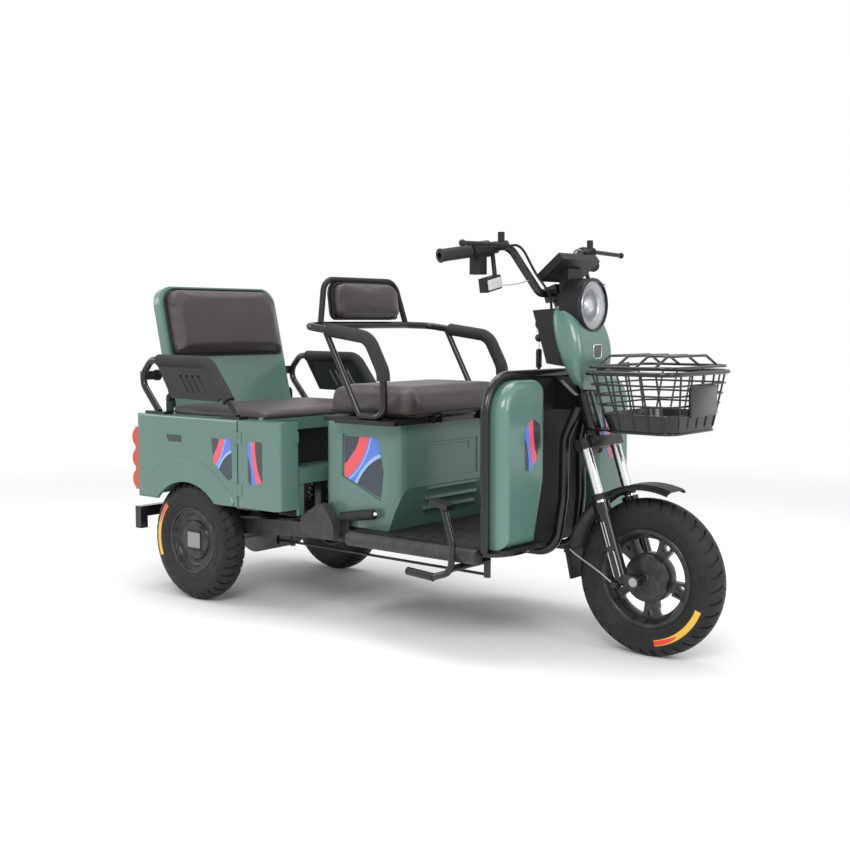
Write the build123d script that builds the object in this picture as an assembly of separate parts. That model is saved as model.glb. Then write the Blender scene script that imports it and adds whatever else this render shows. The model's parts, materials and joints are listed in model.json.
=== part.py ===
"""Electric tricycle with a front driver seat, a rear passenger box and a front basket.

Millimetres, +X forward, +Y left, +Z up. While it is drawn, X = 0 is the rear axle and Z = 0 is the
ground. Before export everything moves along X so that the origin is the middle of the footprint.
"""
from build123d import *
import os
from math import atan2, cos, degrees, radians, sin, sqrt, tan

# ---------------------------------------------------------------- driving dimensions
wheelbase = 1430.0
rear_track = 628.0
front_tyre_radius = 208.0
front_tyre_width = 78.0
front_rim_radius = 127.0
rear_tyre_radius = 190.0
rear_tyre_width = 82.0
rear_rim_radius = 102.0
running_clearance = 0.05
moving_gap = 6.0

# rear box
box_half_width = 370.0
box_rear = -235.0
box_front = 410.0
box_top = 581.0
box_bottom = 320.0
door_seam = 238.0
door_return = 83.0
sheet = 6.0
tray_top = 430.0
arch_radius = 187.0
arch_flare = 4.0
arch_flare_width = 74.0
rear_skirt_bottom = 313.0
door_corner = 24.0
panel_edge = 7.0
rim_flange = 46.0
seat_board_front = 300.0
seat_board_lip = 36.0

# holes for a rear number plate
plate_hole_spacing = 150.0
plate_hole_z = 500.0
plate_hole_radius = 3.0

# rear seat
rear_cushion_thickness = 25.0
rear_cushion_half_width = 305.0
rear_cushion_rear = -158.0
rear_cushion_front = 292.0
backrest_pivot_x = -193.0
backrest_pivot_z = 625.0
backrest_lean = 13.3
backrest_width = 520.0
backrest_height = 372.0
backrest_depth = 30.0
backrest_pad_width = 484.0
backrest_pad_bottom = 137.0
backrest_pad_thickness = 40.0
backrest_corner = 58.0
backrest_foot = -30.0
backrest_pin_radius = 4.0
backrest_wall = 5.0

# floor, seat box and front seat
floor_top = 285.0
floor_thickness = 15.0
floor_rear = 480.0
floor_front = 1124.0
edge_tube_radius = 20.0
edge_tube_y = 330.0
edge_tube_rear = 660.0
seat_box_rear = 490.0
seat_box_front = 770.0
seat_box_half_width = 250.0
seat_box_top = 587.0
seat_box_wall = 9.0
seat_box_corner = 52.0
seat_box_rear_corner = 20.0
seat_box_recess = 5.0
heel_slope_top = 405.0
heel_slope_depth = 36.0
seat_rail_thickness = 13.0
seat_rail_overhang = 20.0
seat_rail_half_width = 298.0
seat_rail_wide_rear = 560.0
hoop_y = 280.0
hoop_tube_radius = 11.0
arm_pad_radius = 19.0
front_cushion_rear = 484.0
front_cushion_front = 806.0
front_cushion_half_width = 250.0
front_cushion_thickness = 84.0
front_backrest_foot_y = 195.0
front_backrest_top_y = 160.0
front_backrest_height = 134.0
front_backrest_base_z = 868.0
front_backrest_x = 421.0
front_backrest_lean = 7.6
front_backrest_tube = 9.0
front_backrest_pad_width = 290.0

# leg shield
shield_x = 1130.0
shield_hoop_radius = 12.5
shield_hoop_y = 328.0
shield_top = 735.0
shield_bottom = 290.0
shield_corner = 100.0
pod_inner_y = 122.0
pod_depth = 52.0
pod_edge = 27.0

# steering
rake = 18.5
axis_x_at_crown = 1262.0
crown_z = 550.0
stanchion_y = 75.0
stanchion_offset = 8.0
stanchion_radius = 14.0
slider_radius = 19.0
slider_top_z = 400.0
stem_radius = 15.0
crown_depth = 56.0
head_tube_radius = 24.0
head_tube_bottom_z = 576.0
head_tube_top_z = 680.0
bar_clamp_z = 950.0
bar_radius = 11.0
bar_half_width = 368.0
grip_radius = 16.5
grip_length = 88.0
headlight_x = 1246.0
headlight_z = 918.0
headlight_radius = 72.0
headlight_depth = 65.0
headlight_back = 22.0
headlight_rim = 7.0
headlight_bowl = 30.0
headlight_lens_setback = 3.0
fender_radius = 240.0
fender_half_width = 50.0

# basket
basket_rear = 1316.0
basket_front = 1570.0
basket_half_width = 174.0
basket_top = 745.0
basket_bottom = 595.0
basket_wire = 4.0
basket_rim_wire = 6.0

# chassis
rail_y = 150.0
rail_width = 30.0
rail_bottom = 230.0
rail_top = floor_top - floor_thickness
axle_tube_radius = 24.0
stub_radius = 12.0
front_axle_radius = 7.0
motor_radius = 74.0
motor_length = 170.0

wheel_z_rear = rear_tyre_radius
wheel_z_front = front_tyre_radius


# ---------------------------------------------------------------- helpers
def block(x, y, z):
    """A box between three (low, high) pairs."""
    size = [pair[1] - pair[0] for pair in (x, y, z)]
    middle = [(pair[1] + pair[0]) / 2 for pair in (x, y, z)]
    return Pos(*middle) * Box(*size)


def both_sides(shape):
    """The shape and its mirror image about the middle plane."""
    return shape + mirror(shape, about=Plane.XZ)


def left_of(shape):
    return mirror(shape, about=Plane.XZ)


def rod(start, end, radius):
    """A straight round bar between two points."""
    line = Vector(*end) - Vector(*start)
    plane = Plane(origin=start, z_dir=line)
    return plane * Cylinder(radius, line.length, align=(Align.CENTER, Align.CENTER, Align.MIN))


def bent_rod(points, bend, radius):
    """A round bar along straight runs joined by arcs."""
    path = FilletPolyline(*points, radius=bend)
    return sweep(Plane(origin=path @ 0, z_dir=path % 0) * Circle(radius), path=path)


def side_plate(outline, y_low, y_high):
    """A plate in the XZ plane, from (x, z) points."""
    face = make_face(Polyline(*[(x, 0, z) for x, z in outline], close=True))
    low = Pos(0, y_low, 0) * face
    return extrude(low, amount=y_high - y_low, dir=(0, 1, 0))


def ring(outer, inner, y_low, y_high, x, z):
    """A ring about a Y axis."""
    middle = Pos(x, (y_low + y_high) / 2, z) * Rot(90, 0, 0)
    solid = middle * Cylinder(outer, y_high - y_low)
    if inner > 0:
        solid -= middle * Cylinder(inner, 2 * (y_high - y_low))
    return solid


def steer_x(z):
    """X of the steering axis at a height."""
    return axis_x_at_crown - (z - crown_z) * tan(radians(rake))


def fork_point(z, forward=0.0, y=0.0):
    """A point beside the steering axis, at the height where the axis is at z."""
    return (
        steer_x(z) + forward * cos(radians(rake)),
        y,
        z + forward * sin(radians(rake)),
    )


def along_fork(z_low, z_high, radius, forward=0.0, y=0.0):
    return rod(fork_point(z_low, forward, y), fork_point(z_high, forward, y), radius)


def wheel_spin(face, x, y, z):
    """A section of (radius, width) points turned into a wheel part about a Y axis."""
    return Pos(x, y, z) * revolve(face, axis=Axis.Y, revolution_arc=360)


# ---------------------------------------------------------------- wheels
def tyre(radius, width, bead, x, y, z):
    depth = radius - bead
    half = width / 2
    bead_half = 0.74 * half
    shoulder = (radius - 0.15 * depth, 0.80 * half)
    side = (bead + 0.5 * depth, half)
    section = make_face(
        Line((bead, -bead_half), (bead, bead_half))
        + ThreePointArc((bead, bead_half), side, shoulder)
        + ThreePointArc(shoulder, (radius, 0), (shoulder[0], -shoulder[1]))
        + ThreePointArc((shoulder[0], -shoulder[1]), (side[0], -half), (bead, -bead_half))
    )
    return wheel_spin(section, x, y, z)


def rim_ring(bead, half, wall, x, y, z):
    return ring(bead, bead - wall, y - half, y + half, x, z)


def front_rim():
    half = 0.74 * front_tyre_width / 2 + 3
    wall = 9.0
    hub_radius = 62.0
    spoke_count = 5
    spoke_spread = 9.5
    spoke = (12.0, 24.0)
    hub_half = 34.0
    boss_half = 50.0
    boss_radius = 22.0
    shape = rim_ring(front_rim_radius, half, wall, 0, 0, 0)
    shape += ring(hub_radius, 0, -hub_half, hub_half - 8, 0, 0)
    shape += ring(boss_radius, 0, -boss_half, boss_half, 0, 0)
    reach = front_rim_radius - wall / 2
    for number in range(spoke_count):
        for side in (-1, 1):
            bar = block((40, reach), (-spoke[1] / 2, spoke[1] / 2), (-spoke[0] / 2, spoke[0] / 2))
            shape += Rot(0, number * 360 / spoke_count + side * spoke_spread, 0) * bar
    shape -= ring(front_axle_radius + running_clearance, 0, -boss_half - 1, boss_half + 1, 0, 0)
    return Pos(wheelbase, 0, wheel_z_front) * shape


def rear_rim(side):
    """A deep dish with a raised boss on the outer face."""
    half = 0.74 * rear_tyre_width / 2 + 3
    wall = 7.0
    dish = 20.0
    disc = 8.0
    hub_radius = 34.0
    boss = 12.0
    y = side * rear_track / 2
    outer = half - dish
    shape = rim_ring(rear_rim_radius, half, wall, 0, 0, 0)
    shape += ring(rear_rim_radius - 1, 0, outer - disc, outer, 0, 0)
    shape += ring(hub_radius, 0, -half + 4, outer, 0, 0)
    raised = side_plate([(-46, -48), (46, -48), (58, 0), (46, 48), (-46, 48), (-58, 0)], outer, outer + boss)
    shape += raised
    shape -= ring(stub_radius + running_clearance, 0, -half - 1, outer - 3, 0, 0)
    if side < 0:
        shape = mirror(shape, about=Plane.XZ)
    return Pos(0, y, wheel_z_rear) * shape


# ---------------------------------------------------------------- running gear
def rear_axle():
    drum_outer = rear_track / 2 - 0.74 * rear_tyre_width / 2 - 3 + 4 - moving_gap
    drum = 22.0
    drum_radius = 62.0
    stub_end = rear_track / 2 + 0.74 * rear_tyre_width / 2 + 3 - 20.0 - 6.0
    pad = 15.0
    shape = ring(axle_tube_radius, 0, -drum_outer, drum_outer, 0, wheel_z_rear)
    shape += ring(stub_radius, 0, -stub_end, stub_end, 0, wheel_z_rear)
    shape += both_sides(ring(drum_radius, 0, drum_outer - drum, drum_outer, 0, wheel_z_rear))
    saddle = block((-22, 22), (shock_y - pad, shock_y + pad), (wheel_z_rear, shock_foot_z))
    shape += both_sides(saddle)
    shape -= ring(motor_radius, 0, -motor_length / 2, motor_length / 2, 0, wheel_z_rear)
    return shape


shock_y = 205.0
shock_foot_z = 226.0
bearer_bottom = 396.0


def rear_shocks():
    eye = 12.0
    spring_radius = 24.0
    rod_radius = 9.0
    collar = 20.0
    shape = rod((0, shock_y, shock_foot_z), (0, shock_y, bearer_bottom), rod_radius)
    shape += rod((0, shock_y, shock_foot_z + collar), (0, shock_y, bearer_bottom - collar), spring_radius)
    shape += rod((0, shock_y, shock_foot_z), (0, shock_y, shock_foot_z + eye), rod_radius + 6)
    return both_sides(shape)


def drive_motor():
    return ring(motor_radius, 0, -motor_length / 2, motor_length / 2, 0, wheel_z_rear)


# ---------------------------------------------------------------- chassis
cross_member_inner = 226.0
side_rail_outer = 262.0


def chassis_frame():
    rear_end = box_rear + 5
    half = rail_width / 2
    rails = both_sides(block((rear_end, 1010), (rail_y - half, rail_y + half), (rail_bottom, rail_top)))
    shape = rails
    for x in (rear_end, 290, 528, 780, 980):
        reach = rail_y + half if x in (rear_end, ) else cross_member_inner
        shape += block((x, x + rail_width), (-reach, reach), (rail_bottom, rail_top))
    bearer = tray_top - sheet
    upright = 25.0
    for x in (-214, 150, 360):
        post = block((x, x + upright), (rail_y - upright / 2, rail_y + upright / 2), (rail_top, bearer))
        shape += both_sides(post)
    for x in (-216, -15, 148, 358):
        shape += block((x, x + rail_width), (-300, 300), (bearer_bottom, bearer))
    top_rail = block((-216, 388), (rail_y - upright / 2, rail_y + upright / 2), (bearer_bottom, bearer))
    shape += both_sides(top_rail)
    tube = 14.0
    low_z = rail_bottom + 20
    down = bent_rod(
        [
            fork_point(head_tube_top_z - 30, -14, 24),
            (1184, 40, 560),
            (1184, 44, 400),
            (1164, 52, low_z),
            (980, 62, low_z),
        ],
        [60, 200, 60],
        tube,
    )
    shape += both_sides(down)
    head = along_fork(head_tube_bottom_z, head_tube_top_z, head_tube_radius)
    shape += head
    shape -= along_fork(head_tube_bottom_z - 20, head_tube_top_z + 20, stem_radius + running_clearance)
    return shape


def side_rails():
    outline = [(92, 213), (92, 262), (360, 279), (562, 276), (562, 238), (360, 232)]
    rail = side_plate(outline, cross_member_inner, side_rail_outer)
    cover = [(430, 258), (430, 300), (498, 346), (522, 346), (562, 290), (562, 246), (500, 244)]
    return both_sides(rail + side_plate(cover, side_rail_outer, side_rail_outer + 32))


def rear_bumper():
    bar = (-285.0, -257.0)
    half = 345.0
    drop = 200.0
    shape = block(bar, (-half, half), (238, 272))
    shape += both_sides(block(bar, (half - 28, half), (drop, 272)))
    stub = block((bar[1], box_rear + 5), (rail_y - 14, rail_y + 14), (238, 270))
    return shape + both_sides(stub)


# ---------------------------------------------------------------- rear box
outer_skin = box_half_width - arch_flare
door_hinge_x = door_seam
door_hinge_y = outer_skin
inner_skin = outer_skin - sheet


def rear_tub():
    rear_panel = block((box_rear, box_rear + sheet), (-outer_skin, outer_skin), (rear_skirt_bottom, box_top))
    for y in (-plate_hole_spacing / 2, plate_hole_spacing / 2):
        rear_panel -= rod((box_rear - 1, y, plate_hole_z), (box_rear + sheet + 1, y, plate_hole_z), plate_hole_radius)
    tray = block((box_rear + sheet, door_seam - 3), (-inner_skin, inner_skin), (tray_top - sheet, tray_top))
    narrow = inner_skin - moving_gap - 2
    tray += block((door_seam - 3, box_front - sheet - 8), (-narrow, narrow), (tray_top - sheet, tray_top))
    sill_half = outer_skin - door_return - 8
    tray += block((box_front - 30, box_front), (-sill_half, sill_half), (tray_top - sheet, tray_top))
    sill = block((box_front - sheet, box_front), (-sill_half, sill_half), (395, tray_top + 10))
    post = block((box_front - 16, box_front - sheet), (sill_half - 22, sill_half), (300, tray_top - sheet))
    return rear_panel + tray + sill + both_sides(post)


door_hinge_heights = (372.0, 528.0)
door_pin_radius = 2.0
door_barrel_radius = 4.0
door_leaf = 2.0
hinge_leaf = 18.0
knuckle_half = 6.0
barrel_half = 18.0


def door_hinge(panel_side):
    """Right-hand hinge halves: the panel's two outer knuckles and pin, or the door's middle knuckle."""
    x = door_hinge_x
    y = -door_hinge_y
    away = door_barrel_radius + 0.5
    skin = (y - door_leaf, y)
    shape = None
    for z in door_hinge_heights:
        if panel_side:
            unit = block((x - hinge_leaf, x - away), skin, (z - barrel_half, z + barrel_half))
            unit += rod((x, y, z - barrel_half), (x, y, z + barrel_half), door_pin_radius)
            for low in (z - barrel_half, z + knuckle_half):
                high = low + barrel_half - knuckle_half
                unit += rod((x, y, low), (x, y, high), door_barrel_radius)
                unit += block((x - away, x), skin, (low, high))
        else:
            low = z - knuckle_half + 0.4
            high = z + knuckle_half - 0.4
            unit = block((x + away, x + hinge_leaf), skin, (z - barrel_half, z + barrel_half))
            unit += rod((x, y, low), (x, y, high), door_barrel_radius)
            unit += block((x, x + away), skin, (low, high))
            unit -= rod((x, y, low - 1), (x, y, high + 1), door_pin_radius + running_clearance)
        shape = unit if shape is None else shape + unit
    return shape


def hinge_pockets():
    """Room round each right-hand hinge barrel."""
    x = door_hinge_x
    y = -door_hinge_y
    reach = barrel_half + 1
    low, high = [
        rod((x, y, z - reach), (x, y, z + reach), door_barrel_radius + 1) for z in door_hinge_heights
    ]
    return low + high


def soft_top_edge(shape):
    """Rounds the long edge where a right-hand panel meets its top flange."""
    edge = shape.edges().filter_by(Axis.X).group_by(Axis.Z)[-1].sort_by(Axis.Y)[0]
    return fillet(edge, panel_edge)


def side_panel_right():
    rear = box_rear + sheet
    front = door_seam - 3
    outline = [(rear, rear_skirt_bottom), (0, rear_skirt_bottom), (0, box_bottom), (front, box_bottom)]
    panel = side_plate(outline + [(front, box_top), (rear, box_top)], -outer_skin, -inner_skin)
    panel += block((rear, front), (-outer_skin, -outer_skin + rim_flange), (box_top - sheet, box_top))
    panel = soft_top_edge(panel)
    flare = ring(arch_radius + arch_flare_width, arch_radius, -box_half_width, -inner_skin, 0, wheel_z_rear)
    outer_edge = flare.edges().filter_by(GeomType.CIRCLE).sort_by(SortBy.RADIUS)[-2:].sort_by(Axis.Y)[0]
    flare = chamfer(outer_edge, arch_flare - 0.5)
    flare &= block((rear, front - hinge_leaf), (-box_half_width, 0), (box_bottom, box_top))
    panel += flare
    panel -= ring(arch_radius, 0, -box_half_width - 1, 0, 0, wheel_z_rear)
    return panel - hinge_pockets() + door_hinge(True)


def door_right():
    rear = door_seam + 3
    edge = -outer_skin + door_return
    panel = block((rear, box_front), (-outer_skin, edge), (box_bottom, box_top))
    panel = fillet(panel.edges().filter_by(Axis.Z).group_by(Axis.X)[-1].sort_by(Axis.Y)[0], door_corner)
    hollow = block((rear - 1, box_front - sheet), (-inner_skin, edge + 1), (box_bottom - 1, box_top + 1))
    hollow = fillet(hollow.edges().filter_by(Axis.Z).group_by(Axis.X)[-1].sort_by(Axis.Y)[0], door_corner - sheet)
    flange = panel & block((rear, box_front), (-outer_skin, -outer_skin + rim_flange), (box_top - sheet, box_top))
    latch_z = 540.0
    latch = block((box_front, box_front + 6), (edge - 14, edge - 2), (latch_z - 20, latch_z + 12))
    knob_x = 330.0
    knob = rod((knob_x, -outer_skin + 12, box_top), (knob_x, -outer_skin + 12, box_top + 12), 7)
    return (panel - hollow) + flange + latch + knob - hinge_pockets() + door_hinge(False)


def rear_seat_board():
    half = outer_skin - rim_flange
    board = block((box_rear + sheet, seat_board_front), (-half, half), (box_top - sheet, box_top))
    front_half = half - moving_gap
    board -= both_sides(block((door_seam - 3, seat_board_front), (front_half, half + 1), (0, 900)))
    lip_z = (box_top - seat_board_lip, box_top)
    board += block((seat_board_front - sheet, seat_board_front), (-front_half, front_half), lip_z)
    return board


def kick_panel():
    """Black panel that closes the space under the rear seat."""
    half = outer_skin - rim_flange - moving_gap
    x = (seat_board_front - 60, seat_board_front - 60 + sheet)
    return block(x, (-half, half), (tray_top, box_top - sheet))


def rear_seat_cushion():
    z = (box_top, box_top + rear_cushion_thickness)
    x = (rear_cushion_rear, rear_cushion_front)
    shape = block(x, (-rear_cushion_half_width, rear_cushion_half_width), z)
    return fillet(shape.edges().filter_by(Axis.Z), 30)


def leaned(shape, x, z, lean):
    """A piece drawn upright at the origin, set at a height and leaned backwards."""
    return Pos(x, 0, z) * Rot(0, -lean, 0) * shape


def rounded_board(width, low, high, depth, corner):
    """An upright board: width along Y, with its two top corners rounded."""
    half_depth = (depth[1] - depth[0]) / 2
    middle = (depth[1] + depth[0]) / 2
    shape = Pos(middle, 0, (low + high) / 2) * Box(2 * half_depth, width, high - low)
    top = shape.edges().filter_by(Axis.X).group_by(Axis.Z)[-1]
    return fillet(top, corner)


def rear_backrest_shell():
    half = backrest_depth / 2
    foot = backrest_foot
    wall = backrest_wall
    shape = rounded_board(backrest_width, foot, backrest_height, (-half, half), backrest_corner)
    hollow = rounded_board(
        backrest_width - 2 * wall, foot + wall, backrest_height - wall, (-half - 1, half - wall), backrest_corner - wall
    )
    shape -= hollow
    shape -= Rot(90, 0, 0) * Cylinder(backrest_pin_radius + running_clearance, backrest_width + 2)
    return leaned(shape, backrest_pivot_x, backrest_pivot_z, backrest_lean)


def rear_backrest_pad():
    half = backrest_depth / 2
    shape = rounded_board(
        backrest_pad_width,
        backrest_pad_bottom,
        backrest_height - 8,
        (half, half + backrest_pad_thickness),
        backrest_corner - 8,
    )
    return leaned(shape, backrest_pivot_x, backrest_pivot_z, backrest_lean)


def backrest_hinges():
    """An upright plate beside each edge of the backrest, with a pin into its side wall."""
    edge = backrest_width / 2
    inner = edge + moving_gap
    outer = inner + 6
    x = (backrest_pivot_x - 16, backrest_pivot_x + 16)
    plate = block(x, (inner, outer), (box_top, backrest_pivot_z))
    plate += ring(16, 0, inner, outer, backrest_pivot_x, backrest_pivot_z)
    plate += block(x, (outer, outer + 18), (box_top, box_top + 4))
    pin = ring(backrest_pin_radius, 0, edge - backrest_wall - 4, outer, backrest_pivot_x, backrest_pivot_z)
    head = ring(9, 0, outer, outer + 5, backrest_pivot_x, backrest_pivot_z)
    return both_sides(plate + pin + head)


# ---------------------------------------------------------------- rear armrests
rear_arm_y = 335.0
rear_arm_foot = 7.0
arm_slots = 4
arm_slot_pitch = 28.0
rear_arm_route = [(-165.0, box_top + rear_arm_foot), (-258.0, 690.0), (-200.0, 752.0), (75.0, 750.0), (205.0, box_top + rear_arm_foot)]


def rear_armrest_right():
    route = [(x, -rear_arm_y, z) for x, z in rear_arm_route]
    tube = bent_rod(route, [45, 38, 60], hoop_tube_radius)
    feet = block((-215, -118), (-rear_arm_y - 17, -rear_arm_y + 17), (box_top, box_top + rear_arm_foot + 2))
    feet += block((150, 233), (-rear_arm_y - 17, -rear_arm_y + 17), (box_top, box_top + rear_arm_foot + 2))
    outline = [(-172, 746), (-98, 634), (118, 630), (152, 650), (88, 740), (70, 748)]
    panel = side_plate(outline, -rear_arm_y - 5, -rear_arm_y + 5)
    for number in range(arm_slots):
        x = -52 + number * arm_slot_pitch
        slot = side_plate([(x - 5, 708), (x + 5, 708), (x + 47, 652), (x + 37, 652)], -rear_arm_y - 9, -rear_arm_y + 9)
        panel -= slot
    return tube + feet + panel - block((-400, 400), (-rear_arm_y - 40, -rear_arm_y + 40), (0, box_top))


def rear_armrest_pad_right():
    route = [(-162, -rear_arm_y, 751.7), (75, -rear_arm_y, 750), (168, -rear_arm_y, 750 - 93 * (750 - 588) / 130)]
    return bent_rod(route, 60, arm_pad_radius) - rear_armrest_right()


def backrest_knobs():
    z = 700.0
    x = -252.0
    edge = backrest_width / 2 + moving_gap
    arm = block((x - 8, x + 8), (edge + 12, rear_arm_y), (z - 14, z + 14))
    knob = ring(18, 0, edge, edge + 12, x, z)
    return both_sides(arm + knob) - both_sides(rear_armrest_right())


# ---------------------------------------------------------------- floor and front seat
def floorboard():
    y = edge_tube_y - edge_tube_radius
    z = (floor_top - floor_thickness, floor_top)
    narrow = cross_member_inner - 4
    return block((edge_tube_rear - 20, floor_front), (-y, y), z) + block((floor_rear, floor_front), (-narrow, narrow), z)


def floor_edge_tubes():
    z = floor_top - edge_tube_radius + 3
    tube = rod((edge_tube_rear, edge_tube_y, z), (floor_front - 14, edge_tube_y, z), edge_tube_radius)
    return both_sides(tube) - floorboard()


def seat_box_form(inset, top):
    """The box's outside, drawn smaller by the inset, with a heel slope low on its front."""
    rear = seat_box_rear + inset
    front = seat_box_front - inset
    y = seat_box_half_width - inset
    low = floor_top - (1 if inset else 0)
    outline = [(rear, low), (front - heel_slope_depth, low), (front, heel_slope_top), (front, top), (rear, top)]
    plan = block((rear, front), (-y, y), (low, top))
    plan = fillet(plan.edges().filter_by(Axis.Z).group_by(Axis.X)[-1], seat_box_corner - inset)
    plan = fillet(plan.edges().filter_by(Axis.Z).group_by(Axis.X)[0], seat_box_rear_corner - inset)
    return plan & side_plate(outline, -y, y)


def seat_box():
    """Side walls with a shallow field for a sticker, and a front with a handle recess and heel ribs."""
    shape = seat_box_form(0, seat_box_top) - seat_box_form(seat_box_wall, seat_box_top + 1)
    y = seat_box_half_width
    field = [(560, 553), (692, 557), (718, 450), (706, 368), (556, 428)]
    shape -= both_sides(side_plate(field, -y - 1, -y + seat_box_recess))
    front = seat_box_front
    shape -= block((front - 3, front + 1), (-118, 118), (424, 530))
    shape -= block((front - seat_box_recess - 1, front + 1), (-82, 82), (500, 520))
    for z in (398, 368, 338):
        back = front - heel_slope_depth * (heel_slope_top - z) / (heel_slope_top - floor_top)
        shape += block((back - 5, min(back + 8, front)), (-118, 118), (z - 4, z + 4))
    return shape


def battery():
    margin = 32.0
    y = seat_box_half_width - margin
    x = (seat_box_rear + margin, seat_box_front - margin - heel_slope_depth)
    return block(x, (-y, y), (floor_top, floor_top + 190))


seat_hinge_x = 800.0
seat_hinge_z = seat_box_top + seat_rail_thickness + 7
seat_hinge_y = 112.0
seat_pin_radius = 3.0
hoop_route = [(656.0, 608.0), (746.0, 608.0), (743.0, 735.0), (690.0, 830.0), (452.0, 861.0)]


def seat_frame():
    z = (seat_box_top, seat_box_top + seat_rail_thickness)
    out = seat_rail_overhang
    y = seat_rail_half_width
    shape = block((seat_rail_wide_rear, seat_box_front + out), (-y, y), z)
    shape = fillet(shape.edges().filter_by(Axis.Z), 24)
    y = seat_box_half_width
    shape += block((seat_box_rear - 6, seat_rail_wide_rear + 40), (-y, y), z)
    shape -= block((seat_box_rear + 22, seat_box_front - 30), (-y + 45, y - 45), (0, 900))
    right = [(x, -hoop_y, z_) for x, z_ in hoop_route]
    left = [(x, hoop_y, z_) for x, z_ in reversed(hoop_route)]
    cross_y = front_backrest_foot_y
    cross = (front_backrest_x, front_backrest_base_z - 4)
    points = right + [(cross[0], -cross_y, cross[1]), (cross[0], cross_y, cross[1])] + left
    bends = [34, 60, 60, 34, 40, 40, 34, 60, 60, 34]
    shape += bent_rod(points, bends, hoop_tube_radius)
    shape += both_sides(rod((524, -hoop_y, 846), (664, -hoop_y, z[0] + 6), hoop_tube_radius - 2))
    for y in (-seat_hinge_y, seat_hinge_y):
        shape += Pos(seat_hinge_x, y, seat_hinge_z) * Rot(90, 0, 0) * Cylinder(seat_pin_radius, 36)
        for side in (-1, 1):
            ear_y = y + side * 16
            ear = block((seat_hinge_x - 18, seat_hinge_x + 6), (ear_y - 2, ear_y + 2), (z[0], seat_hinge_z + 6))
            shape += ear
    return shape


def front_armrest_pads():
    low, knee, elbow, rear = hoop_route[1:]
    start = (538.0, rear[1] - (538 - rear[0]) * (rear[1] - elbow[1]) / (elbow[0] - rear[0]))
    end = (knee[0] + (low[0] - knee[0]) * 0.2, knee[1] + (low[1] - knee[1]) * 0.2)
    route = [(x, -hoop_y, z) for x, z in (start, elbow, knee, end)]
    return both_sides(bent_rod(route, [60, 60], arm_pad_radius)) - seat_frame()


def front_backrest_shell():
    """A tube arch on flared legs with a thin board inside it."""
    foot = front_backrest_foot_y
    top = front_backrest_top_y
    height = front_backrest_height
    points = [(0, -foot, 0), (0, -top, height), (0, top, height), (0, foot, 0)]
    arch = bent_rod(points, [48, 48], front_backrest_tube)
    board = rounded_board(front_backrest_pad_width + 8, 12, height - 2, (-5, 3), 46)
    board = fillet(board.edges().filter_by(Axis.X).group_by(Axis.Z)[0], 24)
    return leaned(arch + board, front_backrest_x, front_backrest_base_z, front_backrest_lean) - seat_frame()


def front_backrest_pad():
    shape = rounded_board(front_backrest_pad_width, 14, front_backrest_height - 10, (3, 38), 40)
    low = shape.edges().filter_by(Axis.X).group_by(Axis.Z)[0]
    shape = fillet(low, 22)
    pad = leaned(shape, front_backrest_x, front_backrest_base_z, front_backrest_lean)
    return pad - front_backrest_shell()


def front_seat_cushion():
    low = seat_box_top + seat_rail_thickness + moving_gap
    y = front_cushion_half_width
    x = (front_cushion_rear, front_cushion_front)
    shape = block(x, (-y, y), (low, low + front_cushion_thickness))
    shape = fillet(shape.edges().filter_by(Axis.Z), 45)
    for y in (-seat_hinge_y, seat_hinge_y):
        shape -= block((seat_hinge_x - 24, front_cushion_front + 9), (y - 22, y + 22), (0, seat_hinge_z + 9))
        knuckle = ring(seat_pin_radius + 3, 0, y - 13, y + 13, seat_hinge_x, seat_hinge_z)
        knuckle += block((seat_hinge_x - 6, seat_hinge_x + 6), (y - 13, y + 13), (seat_hinge_z, seat_hinge_z + 12))
        shape += knuckle
        shape -= ring(seat_pin_radius + running_clearance, 0, y - 20, y + 20, seat_hinge_x, seat_hinge_z)
    return shape


# ---------------------------------------------------------------- leg shield
def splash_panel():
    edge = shield_hoop_y - shield_hoop_radius
    top = shield_top - shield_hoop_radius
    shape = block((shield_x - sheet, shield_x), (-edge, edge), (floor_top - floor_thickness, top))
    corners = shape.edges().filter_by(Axis.X).group_by(Axis.Z)[-1]
    return fillet(corners, shield_corner - shield_hoop_radius)


def leg_shield_hoop():
    y = shield_hoop_y
    z = shield_bottom - 6
    points = [(shield_x, -y, z), (shield_x, -y, shield_top), (shield_x, y, shield_top), (shield_x, y, z)]
    shape = bent_rod(points, shield_corner, shield_hoop_radius)
    low = head_tube_bottom_z + 60
    high = head_tube_top_z - 16
    outline = [
        (shield_x, shield_top - 8),
        (shield_x, low),
        (steer_x(low), low),
        (steer_x(high), high),
        (steer_x(high) - 36, high + 16),
    ]
    shape += side_plate(outline, -10, 10)
    foot_z = (z - 10, z)
    foot = extrude(Pos(shield_x + 8, -250, foot_z[0]) * Ellipse(50, 88), amount=foot_z[1] - foot_z[0])
    shape += both_sides(foot)
    shape -= along_fork(head_tube_bottom_z, head_tube_top_z, head_tube_radius)
    return shape - splash_panel() - chassis_frame() - floorboard() - floor_edge_tubes()


def leg_shield_right():
    """A shallow box: upright outer side, inner side that leans outward near the bottom."""
    outer = -(shield_hoop_y - shield_hoop_radius)
    inner = -pod_inner_y
    low = shield_bottom
    high = shield_top - shield_hoop_radius
    outline = [(outer, low), (inner - 45, low), (inner, low + 170), (inner, high), (outer, high)]
    front = make_face(Polyline(*[(shield_x, y, z) for y, z in outline], close=True))
    shape = extrude(front, amount=pod_depth, dir=(1, 0, 0))
    shape = fillet(shape.edges().filter_by(Axis.X).group_by(Axis.Z)[-1].sort_by(Axis.Y)[0], shield_corner - shield_hoop_radius)
    shape = fillet(shape.edges().filter_by(Axis.X).group_by(Axis.Z)[-1].sort_by(Axis.Y)[-1], 40)
    face = shape.faces().sort_by(Axis.X)[-1]
    return fillet(face.edges(), pod_edge)


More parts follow.
